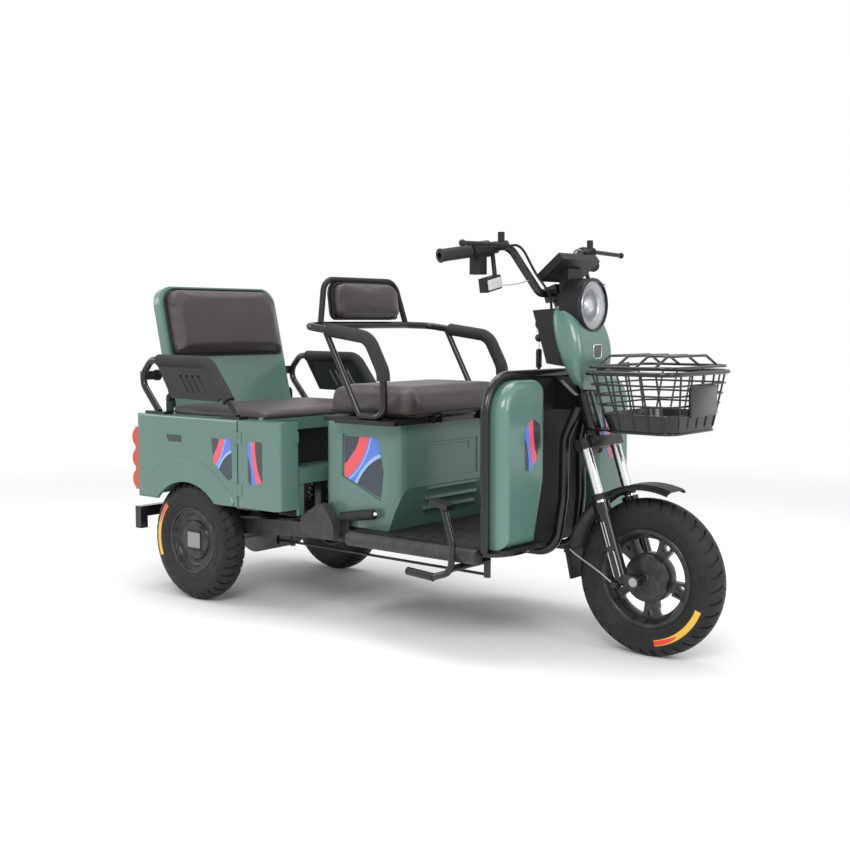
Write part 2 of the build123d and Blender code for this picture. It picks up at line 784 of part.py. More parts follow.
# ---------------------------------------------------------------- hand brake, pedal and rods
def hand_brake():
    y = -(side_rail_outer + 8)
    bracket = side_plate([(562, 250), (600, 262), (600, 300), (588, 325), (562, 318)], y + 2, y + 8)
    lever = rod((574, y, 314), (700, y, 332), 13)
    button = rod((700, y, 332), (712, y, 333.7), 8)
    return bracket + lever + button


def foot_brake():
    y = -318.0
    arm = bent_rod([(1022, y - 44, 392), (1052, y - 44, 300), (1046, y - 44, 226), (986, y - 44, 206)], [60, 34], 9)
    pad = Pos(1016, y - 44, 402) * Rot(0, 12, 0) * Box(60, 34, 14)
    peg = rod((990, y - 44, 206), (900, y - 44, 212), 11)
    shaft = rod((1048, y - 44, 236), (1048, -200, 236), 9)
    return arm + pad + peg + shaft + brake_rods()


def brake_rods():
    y = -205.0
    z = 196.0
    shape = rod((236, y, z + 4), (1048, y, z), 4)
    for x in (240, 300):
        shape += block((x, x + 12), (y - 5, y + 5), (z - 8, rail_bottom))
    shape += block((1040, 1056), (y - 5, y + 5), (z - 8, 236))
    return shape


# ---------------------------------------------------------------- fork and front axle
def fork_crown():
    crown = Box(crown_depth, 2 * stanchion_y + 44, 28)
    crown = fillet(crown.edges().filter_by(Axis.Z), 20)
    crown = Pos(*fork_point(crown_z, stanchion_offset / 2)) * Rot(0, -rake, 0) * crown
    stem = along_fork(crown_z, bar_clamp_z, stem_radius)
    clamp_plane = Pos(*fork_point(bar_clamp_z, 0)) * Rot(0, -rake, 0)
    clamp = clamp_plane * Box(44, 64, 40)
    return crown + stem + clamp - handlebar()


def fork_stanchions():
    bottom = along_fork(slider_top_z, crown_z, stanchion_radius, stanchion_offset, stanchion_y)
    return both_sides(bottom) - fork_crown()


cable_radius = 2.2
cable_route = [
    (1212.0, -52.0, 262.0),
    (1240.0, -60.0, 249.0),
    (1304.0, -86.0, 232.0),
    (1350.0, -98.0, 213.0),
    (1374.0, -99.0, 197.0),
]


def fork_sliders():
    low_z = wheel_z_front - 14
    slider = along_fork(low_z, slider_top_z, slider_radius, stanchion_offset, stanchion_y)
    collar = along_fork(slider_top_z - 26, slider_top_z, slider_radius + 4, stanchion_offset, stanchion_y)
    x = fork_point(wheel_z_front, stanchion_offset)[0]
    lug = block((x - 10, wheelbase), (stanchion_y - 12, stanchion_y + 12), (wheel_z_front - 15, wheel_z_front + 15))
    lug += ring(15, 0, stanchion_y - 12, stanchion_y + 12, wheelbase, wheel_z_front)
    shape = slider + collar + lug
    shape -= ring(front_axle_radius, 0, 0, 200, wheelbase, wheel_z_front)
    end = cable_route[-1]
    stop = block((end[0] - 4, end[0] + 14), (end[1] - 5, end[1] + 16), (end[2] - 8, end[2] + 6))
    return both_sides(shape) + stop


def front_axle():
    half = stanchion_y + 20
    shape = ring(front_axle_radius, 0, -half, half, wheelbase, wheel_z_front)
    nut = ring(12, 0, stanchion_y + 12, stanchion_y + 21, wheelbase, wheel_z_front)
    return shape + both_sides(nut)


# ---------------------------------------------------------------- handlebar and controls
bar_bend = (1085.0, 165.0, 1075.0)
bar_end = (1016.0, bar_half_width, 1042.0)
bar_root = (steer_x(bar_clamp_z), 84.0, bar_clamp_z)


def bar_point(y):
    """The middle of the bar on its straight outer run, on the right-hand side."""
    share = (y - bar_bend[1]) / (bar_end[1] - bar_bend[1])
    return tuple(
        a + share * (b - a) if axis != 1 else -y
        for axis, (a, b) in enumerate(zip(bar_bend, bar_end))
    )


def handlebar():
    right = [(p[0], -p[1], p[2]) for p in (bar_end, bar_bend, bar_root)]
    left = [bar_root, bar_bend, bar_end]
    return bent_rod(right + left, [45, 26, 26, 45], bar_radius)


def grips():
    grip = rod(bar_point(bar_half_width + 2), bar_point(bar_half_width - grip_length), grip_radius)
    return both_sides(grip) - handlebar()


housing_length = 50.0
housing_radius = 22.0
perch_length = 26.0
perch_radius = 16.0
mirror_boss_height = 40.0
mirror_boss_forward = 30.0
mirror_boss_radius = 9.0
mirror_thread_radius = 4.0
mirror_thread_depth = 14.0
grip_inner = bar_half_width - grip_length
perch_inner = grip_inner - housing_length - perch_length
perch_middle = perch_inner + perch_length / 2


def controls():
    """Throttle and switch housings, lever perches with mirror threads, and the two levers."""
    housing = rod(bar_point(grip_inner - 1), bar_point(perch_inner + perch_length - 1), housing_radius)
    perch = rod(bar_point(perch_inner + perch_length), bar_point(perch_inner), perch_radius)
    x, y, z = bar_point(perch_middle)
    boss_x = x + mirror_boss_forward
    top = z + mirror_boss_height
    perch += housing + rod((boss_x, y, z), (boss_x, y, top), mirror_boss_radius)
    box_x, box_y, box_z = bar_point(grip_inner - housing_length / 2)
    box = block((box_x - 20, box_x + 14), (box_y - 15, box_y + 15), (box_z - 64, box_z))
    shoulder = (x + 46, y + 4, z + 6)
    tip = (1100.0, -bar_half_width - 18, 1070.0)
    lever = rod((x + 8, y, z + 4), shoulder, 12) + rod(shoulder, tip, 6) + Pos(*tip) * Sphere(9)
    right = perch + lever
    right -= rod((boss_x, y, top - mirror_thread_depth), (boss_x, y, top + 1), mirror_thread_radius)
    return (right + box + left_of(right)) - handlebar() - grips()


lamp_x = 1092.0
lamp_y = bar_half_width - 111.0
lamp_z = 972.0


def turn_signals():
    lamp = Pos(lamp_x, -lamp_y, lamp_z) * Rot(12, 0, 0) * Box(24, 66, 36)
    stem = rod((lamp_x, -perch_middle - 16, lamp_z), bar_point(perch_middle), 6)
    return both_sides(lamp + stem) - handlebar() - controls()


# ---------------------------------------------------------------- handlebar cables
lever_cable_radius = 3.5
lever_cable_route = [
    (1104.0, -perch_middle + 10, 1068.0),
    (1108.0, -186.0, 1073.0),
    (1112.0, -164.0, 1075.0),
    (1114.0, -138.0, 1062.0),
    (1119.0, -118.0, 1032.0),
    (1133.0, -104.0, 996.0),
    (1150.0, -88.0, 966.0),
    (1155.0, -66.0, 936.0),
    (1148.0, -56.0, 904.0),
]
lamp_wire_radius = 1.6
lamp_wire_route = [
    (lamp_x + 2, -lamp_y + 30, lamp_z - 2),
    (1102.0, -200.0, 969.0),
    (1110.0, -164.0, 973.0),
    (1117.0, -130.0, 981.0),
    (1114.0, -111.0, 985.0),
]


def lever_cable_right():
    return bent_rod(lever_cable_route, 16, lever_cable_radius) - controls() - cover_back()


def lamp_wire_right():
    return bent_rod(lamp_wire_route, 16, lamp_wire_radius) - turn_signals() - handlebar()


def console():
    tilt = 39.0
    slab = Pos(1165, 0, 1018) * Rot(0, -tilt, 0) * Box(92, 184, 22)
    neck = block((1158, 1186), (-34, 34), (940, 1016))
    neck -= Pos(1165, 0, 1018) * Rot(0, -tilt, 0) * Pos(0, 0, 100) * Box(200, 200, 200)
    return (slab + neck) - headlight_volume() - fork_crown() - handlebar()


# ---------------------------------------------------------------- headlight and front cover
def headlight_volume():
    """The outside of the lamp, filled."""
    start = (headlight_x - headlight_depth, 0, headlight_z)
    bucket = rod(start, (headlight_x, 0, headlight_z), headlight_radius)
    return bucket + rod((start[0] - headlight_back, 0, headlight_z), start, headlight_radius - headlight_back)


def headlight_hole(start_x, end_x):
    return rod((start_x, 0, headlight_z), (end_x, 0, headlight_z), headlight_radius - headlight_rim)


def headlight_shell():
    shape = headlight_volume() - headlight_hole(headlight_x - headlight_bowl, headlight_x + 1)
    return shape - fork_crown()


def headlight_lens():
    return headlight_hole(headlight_x - headlight_bowl, headlight_x - headlight_lens_setback)


# height, back edge, front edge and half width of the cover's level sections
cover_levels = [
    (692.0, 1224.0, 1238.0, 34.0),
    (716.0, 1213.0, 1249.0, 66.0),
    (758.0, 1197.0, 1258.0, 86.0),
    (800.0, 1181.0, 1258.0, 90.0),
    (850.0, 1164.0, 1246.0, 86.0),
    (890.0, 1155.0, 1226.0, 77.0),
    (916.0, 1156.0, 1198.0, 58.0),
]
cover_edge = 26.0


def cover_form(inset):
    """The cover's whole volume, narrower and further back by the inset."""
    sections = []
    for z, back, front, half in cover_levels:
        depth = front - back
        width = 2 * (half - inset)
        corner = min(cover_edge, 0.42 * depth, 0.42 * width)
        sections.append(Pos((back + front) / 2 - inset, 0, z) * RectangleRounded(depth, width, corner))
    return loft(sections)


def front_cover():
    skin = 4.0
    shape = cover_form(0) - Pos(0, 0, -skin) * cover_form(skin)
    shape -= along_fork(crown_z, bar_clamp_z + 20, stem_radius + moving_gap)
    return shape - headlight_volume() - console() - fork_crown()


def cover_back():
    outline = [(1094, 905), (1166, 910), (1200, 824), (1220, 752), (1140, 762)]
    half = 66.0
    shape = side_plate(outline, -half, half)
    shape -= along_fork(crown_z, bar_clamp_z, stem_radius + 4)
    lock = rod((1066, 0, 866), (1108, 0, 872), 12)
    return (shape + lock) - cover_form(0) - fork_crown() - handlebar()


# ---------------------------------------------------------------- front fender
def front_fender():
    skin = 4.0
    lip = 14.0
    w = fender_half_width
    outer = fender_radius
    section = make_face(
        Polyline(
            (outer - lip, -w),
            (outer - 8, -w),
            (outer, -w + 16),
            (outer, w - 16),
            (outer - 8, w),
            (outer - lip, w),
            (outer - lip, w - skin),
            (outer - 8 - skin / 2, w - skin),
            (outer - skin, w - 18),
            (outer - skin, -w + 18),
            (outer - 8 - skin / 2, -w + skin),
            (outer - lip, -w + skin),
            close=True,
        )
    )
    start = 72.0
    sweep_angle = 100.0
    band = revolve(section, axis=Axis.Y, revolution_arc=sweep_angle)
    band = Pos(wheelbase - 2, 0, wheel_z_front + 6) * Rot(0, -start, 0) * Rot(0, 0, 0) * mirror(band, about=Plane.XY)
    flap = side_plate([(1190, 256), (1197, 256), (1213, 180), (1207, 180)], -w + 6, w - 6)
    shape = band + flap
    grip_z = slider_top_z + 14
    clamp = along_fork(grip_z - 8, grip_z + 8, stanchion_radius + 6, stanchion_offset, stanchion_y)
    at = fork_point(grip_z, stanchion_offset)
    clamp += block((at[0] - 13, at[0] + 13), (w - 4, stanchion_y), (at[2] - 8, at[2] + 6))
    shape += both_sides(clamp)
    start = cable_route[0]
    shape += block((start[0] - 16, start[0]), (start[1] - 6, -w + 10), (start[2] - 9, start[2] + 7))
    return shape - fork_stanchions()


# ---------------------------------------------------------------- front brake cable
def front_brake_cable():
    return bent_rod(cable_route, 30, cable_radius) - fork_sliders() - front_fender()


# ---------------------------------------------------------------- basket
def basket_loop(z, spread, wire):
    """A closed rounded loop of wire at a height."""
    share = (basket_top - z) / (basket_top - basket_bottom)
    rear = basket_rear + 40 * share - spread
    front = basket_front - 20 * share + spread
    half = basket_half_width - 50 * share + spread
    corner = 46 - 6 * share
    middle = Pos((rear + front) / 2, 0, z - wire)
    outer = RectangleRounded(front - rear + 2 * wire, 2 * (half + wire), corner + wire)
    inner = RectangleRounded(front - rear - 2 * wire, 2 * (half - wire), corner - wire)
    return extrude(middle * (outer - inner), amount=2 * wire)


lid_z = basket_top + basket_rim_wire + basket_wire + moving_gap
lid_hinge_x = basket_rear - 7
lid_hinge_y = 60.0
lid_pin_radius = 2.5
lid_hat = 26.0
lid_hat_y = 104.0
lid_frame_x = (1386.0, 1496.0)
lid_frame_half = 27.0


def lid_ears():
    """Two ears and a pin on the rear of the basket rim, for each lid knuckle."""
    shape = None
    for y in (-lid_hinge_y, lid_hinge_y):
        unit = Pos(lid_hinge_x, y, lid_z) * Rot(90, 0, 0) * Cylinder(lid_pin_radius, 26)
        for side in (-1, 1):
            ear_y = y + side * 11.5
            unit += block((lid_hinge_x - 5, lid_hinge_x + 5), (ear_y - 1.5, ear_y + 1.5), (basket_top, lid_z + 5))
        shape = unit if shape is None else shape + unit
    return shape


def basket():
    shape = basket_loop(basket_top, 0, basket_rim_wire) + lid_ears()
    for z in (708, 672, 640, basket_bottom):
        shape += basket_loop(z, 0, basket_wire)
    for x in (1380, 1450, 1520):
        shape += side_strut(x)
    for y in (-90, 0, 90):
        shape += end_strut(y)
    floor = block((basket_rear + 38, basket_front - 18), (-116, 116), (basket_bottom - 3, basket_bottom + 3))
    shape += floor
    foot_x = fork_point(crown_z, stanchion_offset / 2 + crown_depth / 2)[0]
    half = 40.0
    thick = 6.0
    under = basket_bottom - 3
    arm = block((foot_x, basket_rear + 90), (-half, half), (under - thick, under))
    foot = block((foot_x, foot_x + thick), (-half, half), (crown_z - 4, under))
    plate_y = 72.0
    plate = block((basket_front - 4, basket_front + 3), (-plate_y, plate_y), (636, 714))
    return (shape + arm + foot + plate) - fork_crown()


def side_strut(x):
    share_y = basket_half_width - 50
    points = [(x, -basket_half_width, basket_top), (x, -share_y, basket_bottom), (x, share_y, basket_bottom), (x, basket_half_width, basket_top)]
    return bent_rod(points, 20, basket_wire)


def end_strut(y):
    points = [
        (basket_rear, y, basket_top),
        (basket_rear + 40, y * 0.8, basket_bottom),
        (basket_front - 20, y * 0.8, basket_bottom),
        (basket_front, y, basket_top),
    ]
    return bent_rod(points, 20, basket_wire)


def basket_lid():
    z = lid_z
    loop = Pos((basket_rear + basket_front) / 2, 0, z) * RectangleRounded(
        basket_front - basket_rear - 6, 2 * basket_half_width - 6, 44
    )
    hole = Pos((basket_rear + basket_front) / 2, 0, z) * RectangleRounded(
        basket_front - basket_rear - 22, 2 * basket_half_width - 22, 36
    )
    shape = Pos(0, 0, -basket_wire) * extrude(loop - hole, amount=2 * basket_wire)
    for x in lid_frame_x:
        for edge in (x - lid_frame_half, x + lid_frame_half):
            low_y = basket_half_width - 3
            hat = [(edge, -low_y, z), (edge, -lid_hat_y, z + lid_hat), (edge, lid_hat_y, z + lid_hat), (edge, low_y, z)]
            shape += bent_rod(hat, 24, basket_wire)
        for y in (-lid_hat_y + 24, 0, lid_hat_y - 24):
            shape += rod((x - lid_frame_half, y, z + lid_hat), (x + lid_frame_half, y, z + lid_hat), basket_wire - 1)
    for y in (-lid_hinge_y, lid_hinge_y):
        shape += ring(lid_pin_radius + 2.5, 0, y - 7, y + 7, lid_hinge_x, z)
        shape += block((lid_hinge_x, basket_rear + 6), (y - 7, y + 7), (z - basket_wire, z + basket_wire))
        shape -= ring(lid_pin_radius + running_clearance, 0, y - 10, y + 10, lid_hinge_x, z)
    return shape


# ---------------------------------------------------------------- lamps
lamp_width = 34.0
lamp_depth = 16.0
lamp_low = 334.0
lamp_high = 536.0
lamp_bulges = 3


def tail_lamps():
    """A tall lamp on each rear corner with three round bulges."""
    y = (-outer_skin, -outer_skin + lamp_width)
    body = block((box_rear - lamp_depth, box_rear), y, (lamp_low, lamp_high))
    pitch = (lamp_high - lamp_low) / lamp_bulges
    for number in range(lamp_bulges):
        z = lamp_low + pitch * (number + 0.5)
        body += ring(pitch * 0.47, 0, *y, box_rear, z) & block((box_rear - pitch, box_rear), y, (lamp_low, lamp_high))
    return both_sides(body)


# ---------------------------------------------------------------- build and export
pieces = {
    "chassis_frame": chassis_frame(),
    "rear_axle": rear_axle(),
    "drive_motor": drive_motor(),
    "rear_shocks": rear_shocks(),
    "side_rails": side_rails(),
    "rear_bumper": rear_bumper(),
    "rear_tub": rear_tub(),
    "side_panels": both_sides(side_panel_right()),
    "door_right": door_right(),
    "door_left": left_of(door_right()),
    "rear_seat_board": rear_seat_board(),
    "kick_panel": kick_panel(),
    "rear_seat_cushion": rear_seat_cushion(),
    "rear_backrest_shell": rear_backrest_shell(),
    "rear_backrest_pad": rear_backrest_pad(),
    "backrest_mounts": backrest_hinges() + backrest_knobs(),
    "rear_armrests": both_sides(rear_armrest_right()),
    "rear_armrest_pads": both_sides(rear_armrest_pad_right()),
    "tail_lamps": tail_lamps(),
    "floorboard": floorboard(),
    "floor_edge_tubes": floor_edge_tubes(),
    "seat_box": seat_box(),
    "battery": battery(),
    "seat_frame": seat_frame(),
    "front_armrest_pads": front_armrest_pads(),
    "front_backrest_shell": front_backrest_shell(),
    "front_backrest_pad": front_backrest_pad(),
    "front_seat_cushion": front_seat_cushion(),
    "splash_panel": splash_panel(),
    "leg_shield_hoop": leg_shield_hoop(),
    "leg_shields": both_sides(leg_shield_right()),
    "hand_brake": hand_brake(),
    "foot_brake": foot_brake(),
    "fork_crown": fork_crown(),
    "fork_stanchions": fork_stanchions(),
    "fork_sliders": fork_sliders(),
    "front_axle": front_axle(),
    "handlebar": handlebar(),
    "grips": grips(),
    "controls": controls(),
    "turn_signals": turn_signals(),
    "lever_cable_right": lever_cable_right(),
    "lever_cable_left": left_of(lever_cable_right()),
    "lamp_wire_right": lamp_wire_right(),
    "console": console(),
    "headlight_shell": headlight_shell(),
    "headlight_lens": headlight_lens(),
    "front_cover": front_cover(),
    "cover_back": cover_back(),
    "front_fender": front_fender(),
    "front_brake_cable": front_brake_cable(),
    "basket": basket(),
    "basket_lid": basket_lid(),
    "front_tyre": tyre(front_tyre_radius, front_tyre_width, front_rim_radius, wheelbase, 0, wheel_z_front),
    "front_rim": front_rim(),
    "rear_tyre_right": tyre(rear_tyre_radius, rear_tyre_width, rear_rim_radius, 0, -rear_track / 2, wheel_z_rear),
    "rear_rim_right": rear_rim(-1),
    "rear_tyre_left": tyre(rear_tyre_radius, rear_tyre_width, rear_rim_radius, 0, rear_track / 2, wheel_z_rear),
    "rear_rim_left": rear_rim(1),
}

boxes = [shape.bounding_box() for shape in pieces.values()]
front_end = max(box.max.X for box in boxes)
rear_end = min(box.min.X for box in boxes)
middle_x = (front_end + rear_end) / 2

os.makedirs("parts", exist_ok=True)
for name, shape in pieces.items():
    export_step(Pos(-middle_x, 0, 0) * shape, f"parts/{name}.step")
print(f"middle_x {middle_x:.3f} length {front_end - rear_end:.1f}")
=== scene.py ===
import json
import math

import bmesh
import bpy
from mathutils import Matrix, Vector


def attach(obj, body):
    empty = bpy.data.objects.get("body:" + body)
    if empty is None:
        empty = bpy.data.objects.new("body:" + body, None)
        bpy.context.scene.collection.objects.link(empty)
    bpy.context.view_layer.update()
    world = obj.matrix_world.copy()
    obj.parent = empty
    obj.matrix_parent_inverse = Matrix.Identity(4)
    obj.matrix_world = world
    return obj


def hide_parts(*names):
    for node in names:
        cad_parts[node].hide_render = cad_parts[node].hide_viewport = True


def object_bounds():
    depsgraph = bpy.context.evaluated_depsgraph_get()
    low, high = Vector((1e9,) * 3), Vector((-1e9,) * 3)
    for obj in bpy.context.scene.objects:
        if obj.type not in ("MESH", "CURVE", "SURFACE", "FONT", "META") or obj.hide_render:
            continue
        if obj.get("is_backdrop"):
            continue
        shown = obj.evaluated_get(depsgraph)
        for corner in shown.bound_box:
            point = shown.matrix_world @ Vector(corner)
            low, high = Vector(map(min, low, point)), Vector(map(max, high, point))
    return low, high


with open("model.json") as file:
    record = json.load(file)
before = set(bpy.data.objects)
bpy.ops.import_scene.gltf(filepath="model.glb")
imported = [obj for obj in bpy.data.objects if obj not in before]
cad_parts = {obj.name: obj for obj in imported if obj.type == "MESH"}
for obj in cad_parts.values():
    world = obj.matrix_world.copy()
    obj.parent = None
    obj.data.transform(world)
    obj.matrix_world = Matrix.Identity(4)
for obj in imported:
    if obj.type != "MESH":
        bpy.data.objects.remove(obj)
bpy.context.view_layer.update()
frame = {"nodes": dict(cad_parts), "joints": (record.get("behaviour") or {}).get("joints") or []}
nodes = frame["nodes"]
jointPlace = {joint["name"]: Vector(joint["pos_m"]) for joint in frame["joints"]}
rearAxleX = jointPlace["rear_wheel_right_spin"].x
mm = 0.001
touch = 0.0001  # how near a point has to be to count as on a face
leftFromRight = Matrix.Diagonal((1, -1, 1, 1))


def at(x, y, z):
    # millimetres forward of the rear axle, left of the middle and above the ground
    return Vector((rearAxleX + x * mm, y * mm, z * mm))


def turnAbout(axis, degrees):
    return Matrix.Rotation(math.radians(degrees), 4, axis)


# editing helpers

def clearSelection():
    if bpy.context.mode != "OBJECT":
        bpy.ops.object.mode_set(mode="OBJECT")
    bpy.ops.object.select_all(action="DESELECT")


def makeActive(piece):
    clearSelection()
    piece.select_set(True)
    bpy.context.view_layer.objects.active = piece


def startEdit(piece, kind="FACE"):
    makeActive(piece)
    bpy.ops.object.mode_set(mode="EDIT")
    bpy.ops.mesh.select_mode(type=kind)
    bpy.ops.mesh.select_all(action="DESELECT")


def endEdit():
    bpy.ops.object.mode_set(mode="OBJECT")


def pick(piece, test, kind="faces"):
    # selects what passes the test, by its place or its normal
    bpy.ops.mesh.select_all(action="DESELECT")
    mesh = bmesh.from_edit_mesh(piece.data)
    for item in getattr(mesh, kind):
        if test(item):
            item.select_set(True)
    mesh.select_flush_mode()
    bmesh.update_edit_mesh(piece.data)


def runsAlong(edge, axis, least=0.9):
    return abs((edge.verts[0].co - edge.verts[1].co).normalized()[axis]) > least


def bevelCorners(piece, axis, width, segments, least=0.9):
    # rounds the edges that run along one axis
    startEdit(piece, "EDGE")
    pick(piece, lambda edge: runsAlong(edge, axis, least), "edges")
    bpy.ops.mesh.bevel(offset=width, segments=segments, affect="EDGES")
    endEdit()


def settle(piece):
    # puts the place, turn and size into the mesh, so that the object sits at the origin
    makeActive(piece)
    bpy.ops.object.transform_apply(location=True, rotation=True, scale=True)
    return piece


def newPiece(name):
    piece = bpy.context.active_object
    piece.name = name
    return piece


def addBox(name, low, high):
    clearSelection()
    bpy.ops.mesh.primitive_cube_add(size=1, location=(low + high) / 2, scale=high - low)
    return settle(newPiece(name))


def addRod(name, start, end, radius, sides=24, tip=None):
    # a round bar between two points, tapered when a tip radius is given
    clearSelection()
    line = end - start
    bpy.ops.mesh.primitive_cone_add(
        vertices=sides, radius1=radius, radius2=radius if tip is None else tip, depth=line.length,
        location=(start + end) / 2, rotation=line.to_track_quat("Z", "Y").to_euler()
    )
    return settle(newPiece(name))


def addBall(name, middle, radius, sides=20):
    clearSelection()
    bpy.ops.mesh.primitive_uv_sphere_add(
        segments=sides, ring_count=sides // 2, radius=radius, location=middle
    )
    return settle(newPiece(name))


def applyModifier(piece, name, kind, **settings):
    modifier = piece.modifiers.new(name, kind)
    for label, value in settings.items():
        setattr(modifier, label, value)
    makeActive(piece)
    bpy.ops.object.modifier_apply(modifier=modifier.name)


def roundEdges(piece, width, segments=2, angle=35):
    applyModifier(piece, "edgeRound", "BEVEL", width=width, segments=segments, limit_method="ANGLE",
                  angle_limit=math.radians(angle), use_clamp_overlap=True)


def addWall(piece, thickness, offset):
    applyModifier(piece, "wall", "SOLIDIFY", thickness=thickness, offset=offset)


def turnedShape(name, outline, middle=Vector((0, 0, 0)), steps=64):
    # a section of (radius, width) points in millimetres spun about a Y axis
    clearSelection()
    bpy.ops.mesh.primitive_circle_add(vertices=len(outline), radius=1, fill_type="NOTHING")
    piece = newPiece(name)
    for vertex, (radius, width) in zip(piece.data.vertices, outline):
        vertex.co = (radius * mm, width * mm, 0)
    startEdit(piece, "EDGE")
    bpy.ops.mesh.select_all(action="SELECT")
    bpy.ops.mesh.spin(steps=steps, angle=math.tau, center=(0, 0, 0), axis=(0, 1, 0))
    bpy.ops.mesh.select_all(action="SELECT")
    bpy.ops.mesh.remove_doubles(threshold=0.00001)
    bpy.ops.mesh.normals_make_consistent(inside=False)
    endEdit()
    piece.data.transform(Matrix.Translation(middle))
    return piece


def copyPiece(piece, name, change):
    twin = bpy.data.objects.new(name, piece.data.copy())
    bpy.context.scene.collection.objects.link(twin)
    twin.data.transform(change)
    return twin


def mirrorMesh(piece):
    piece.data.transform(leftFromRight)
    piece.data.flip_normals()
    return piece


def mirrorPiece(piece, name):
    return mirrorMesh(copyPiece(piece, name, Matrix.Identity(4)))


def joinPieces(name, pieces):
    clearSelection()
    for piece in pieces:
        piece.select_set(True)
    bpy.context.view_layer.objects.active = pieces[0]
    bpy.ops.object.join()
    joined = newPiece(name)
    joined.data.name = name
    return joined


def roundedPath(points, bend, closed=False, steps=5):
    # straight runs joined by arcs of one bend radius
    count = len(points)
    path = []
    for number, corner in enumerate(points):
        if not closed and number in (0, count - 1):
            path.append(Vector(corner))
            continue
        before = Vector(points[number - 1]) - corner
        after = Vector(points[(number + 1) % count]) - corner
        half = before.angle(after) / 2
        reach = min(bend / math.tan(half), before.length / 2, after.length / 2)
        radius = reach * math.tan(half)
        inward = (before.normalized() + after.normalized()).normalized()
        centre = corner + inward * (radius / math.sin(half))
        first = corner + before.normalized() * reach - centre
        last = corner + after.normalized() * reach - centre
        for step in range(steps + 1):
            path.append(centre + first.slerp(last, step / steps, first).normalized() * radius)
    return path


def tubeAlong(name, path, radius, closed=False, sides=4):
    # a round tube through a list of points, turned into a mesh
    curve = bpy.data.curves.new(name, "CURVE")
    curve.dimensions = "3D"
    curve.bevel_depth = radius
    curve.bevel_resolution = sides
    curve.use_fill_caps = not closed
    spline = curve.splines.new("POLY")
    spline.points.add(len(path) - 1)
    for point, place in zip(spline.points, path):
        point.co = (*place, 1)
    spline.use_cyclic_u = closed
    piece = bpy.data.objects.new(name, curve)
    bpy.context.scene.collection.objects.link(piece)
    makeActive(piece)
    bpy.ops.object.convert(target="MESH")
    return bpy.context.active_object


def ringTube(name, corners, bend, radius, steps=5):
    # a closed loop of tube with rounded corners
    return tubeAlong(name, roundedPath(corners, bend, closed=True, steps=steps), radius, closed=True)


def dress(piece, body, look, replaces=(), smoothAngle=35):
    # smooth shading, material, and the body that the finished piece rides on
    makeActive(piece)
    bpy.ops.object.shade_smooth_by_angle(angle=math.radians(smoothAngle))
    piece.data.materials.clear()
    piece.data.materials.append(looks[look])
    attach(piece, body)
    if replaces:
        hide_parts(*replaces)


# shader groups

def newGroup(name, inputs, outputs):
    group = bpy.data.node_groups.new(name, "ShaderNodeTree")
    for label, kind, value in inputs:
        socket = group.interface.new_socket(label, in_out="INPUT", socket_type="NodeSocket" + kind)
        socket.default_value = value
    for label, kind in outputs:
        group.interface.new_socket(label, in_out="OUTPUT", socket_type="NodeSocket" + kind)
    return group, group.nodes.new("NodeGroupInput"), group.nodes.new("NodeGroupOutput")


def addNode(tree, kind, settings=None, values=None):
    node = tree.nodes.new("ShaderNode" + kind)
    for label, value in (settings or {}).items():
        setattr(node, label, value)
    for label, value in (values or {}).items():
        node.inputs[label].default_value = value
    return node


def wire(tree, routes):
    # each route is a node and its output, then the next node and its input
    for source, given, target, taken in routes:
        tree.links.new(source.outputs[given], target.inputs[taken])


def makeGrainGroup():
    # coarse and fine noise mixed into one height
    inputs = [("Scale", "Float", 60.0), ("Fine Scale", "Float", 900.0), ("Fineness", "Float", 0.5)]
    group, given, result = newGroup("surfaceGrain", inputs, [("Height", "Float"), ("Patches", "Float")])
    place = addNode(group, "TexCoord")
    coarse = addNode(group, "TexNoise", values={"Detail": 2.0})
    fine = addNode(group, "TexNoise", values={"Detail": 1.0})
    blend = addNode(group, "Mix", {"data_type": "FLOAT"})
    wire(group, [
        (place, "Object", coarse, "Vector"), (place, "Object", fine, "Vector"),
        (given, "Scale", coarse, "Scale"), (given, "Fine Scale", fine, "Scale"),
        (given, "Fineness", blend, "Factor"), (coarse, "Fac", blend, "A"), (fine, "Fac", blend, "B"),
        (blend, "Result", result, "Height"), (coarse, "Fac", result, "Patches"),
    ])
    return group


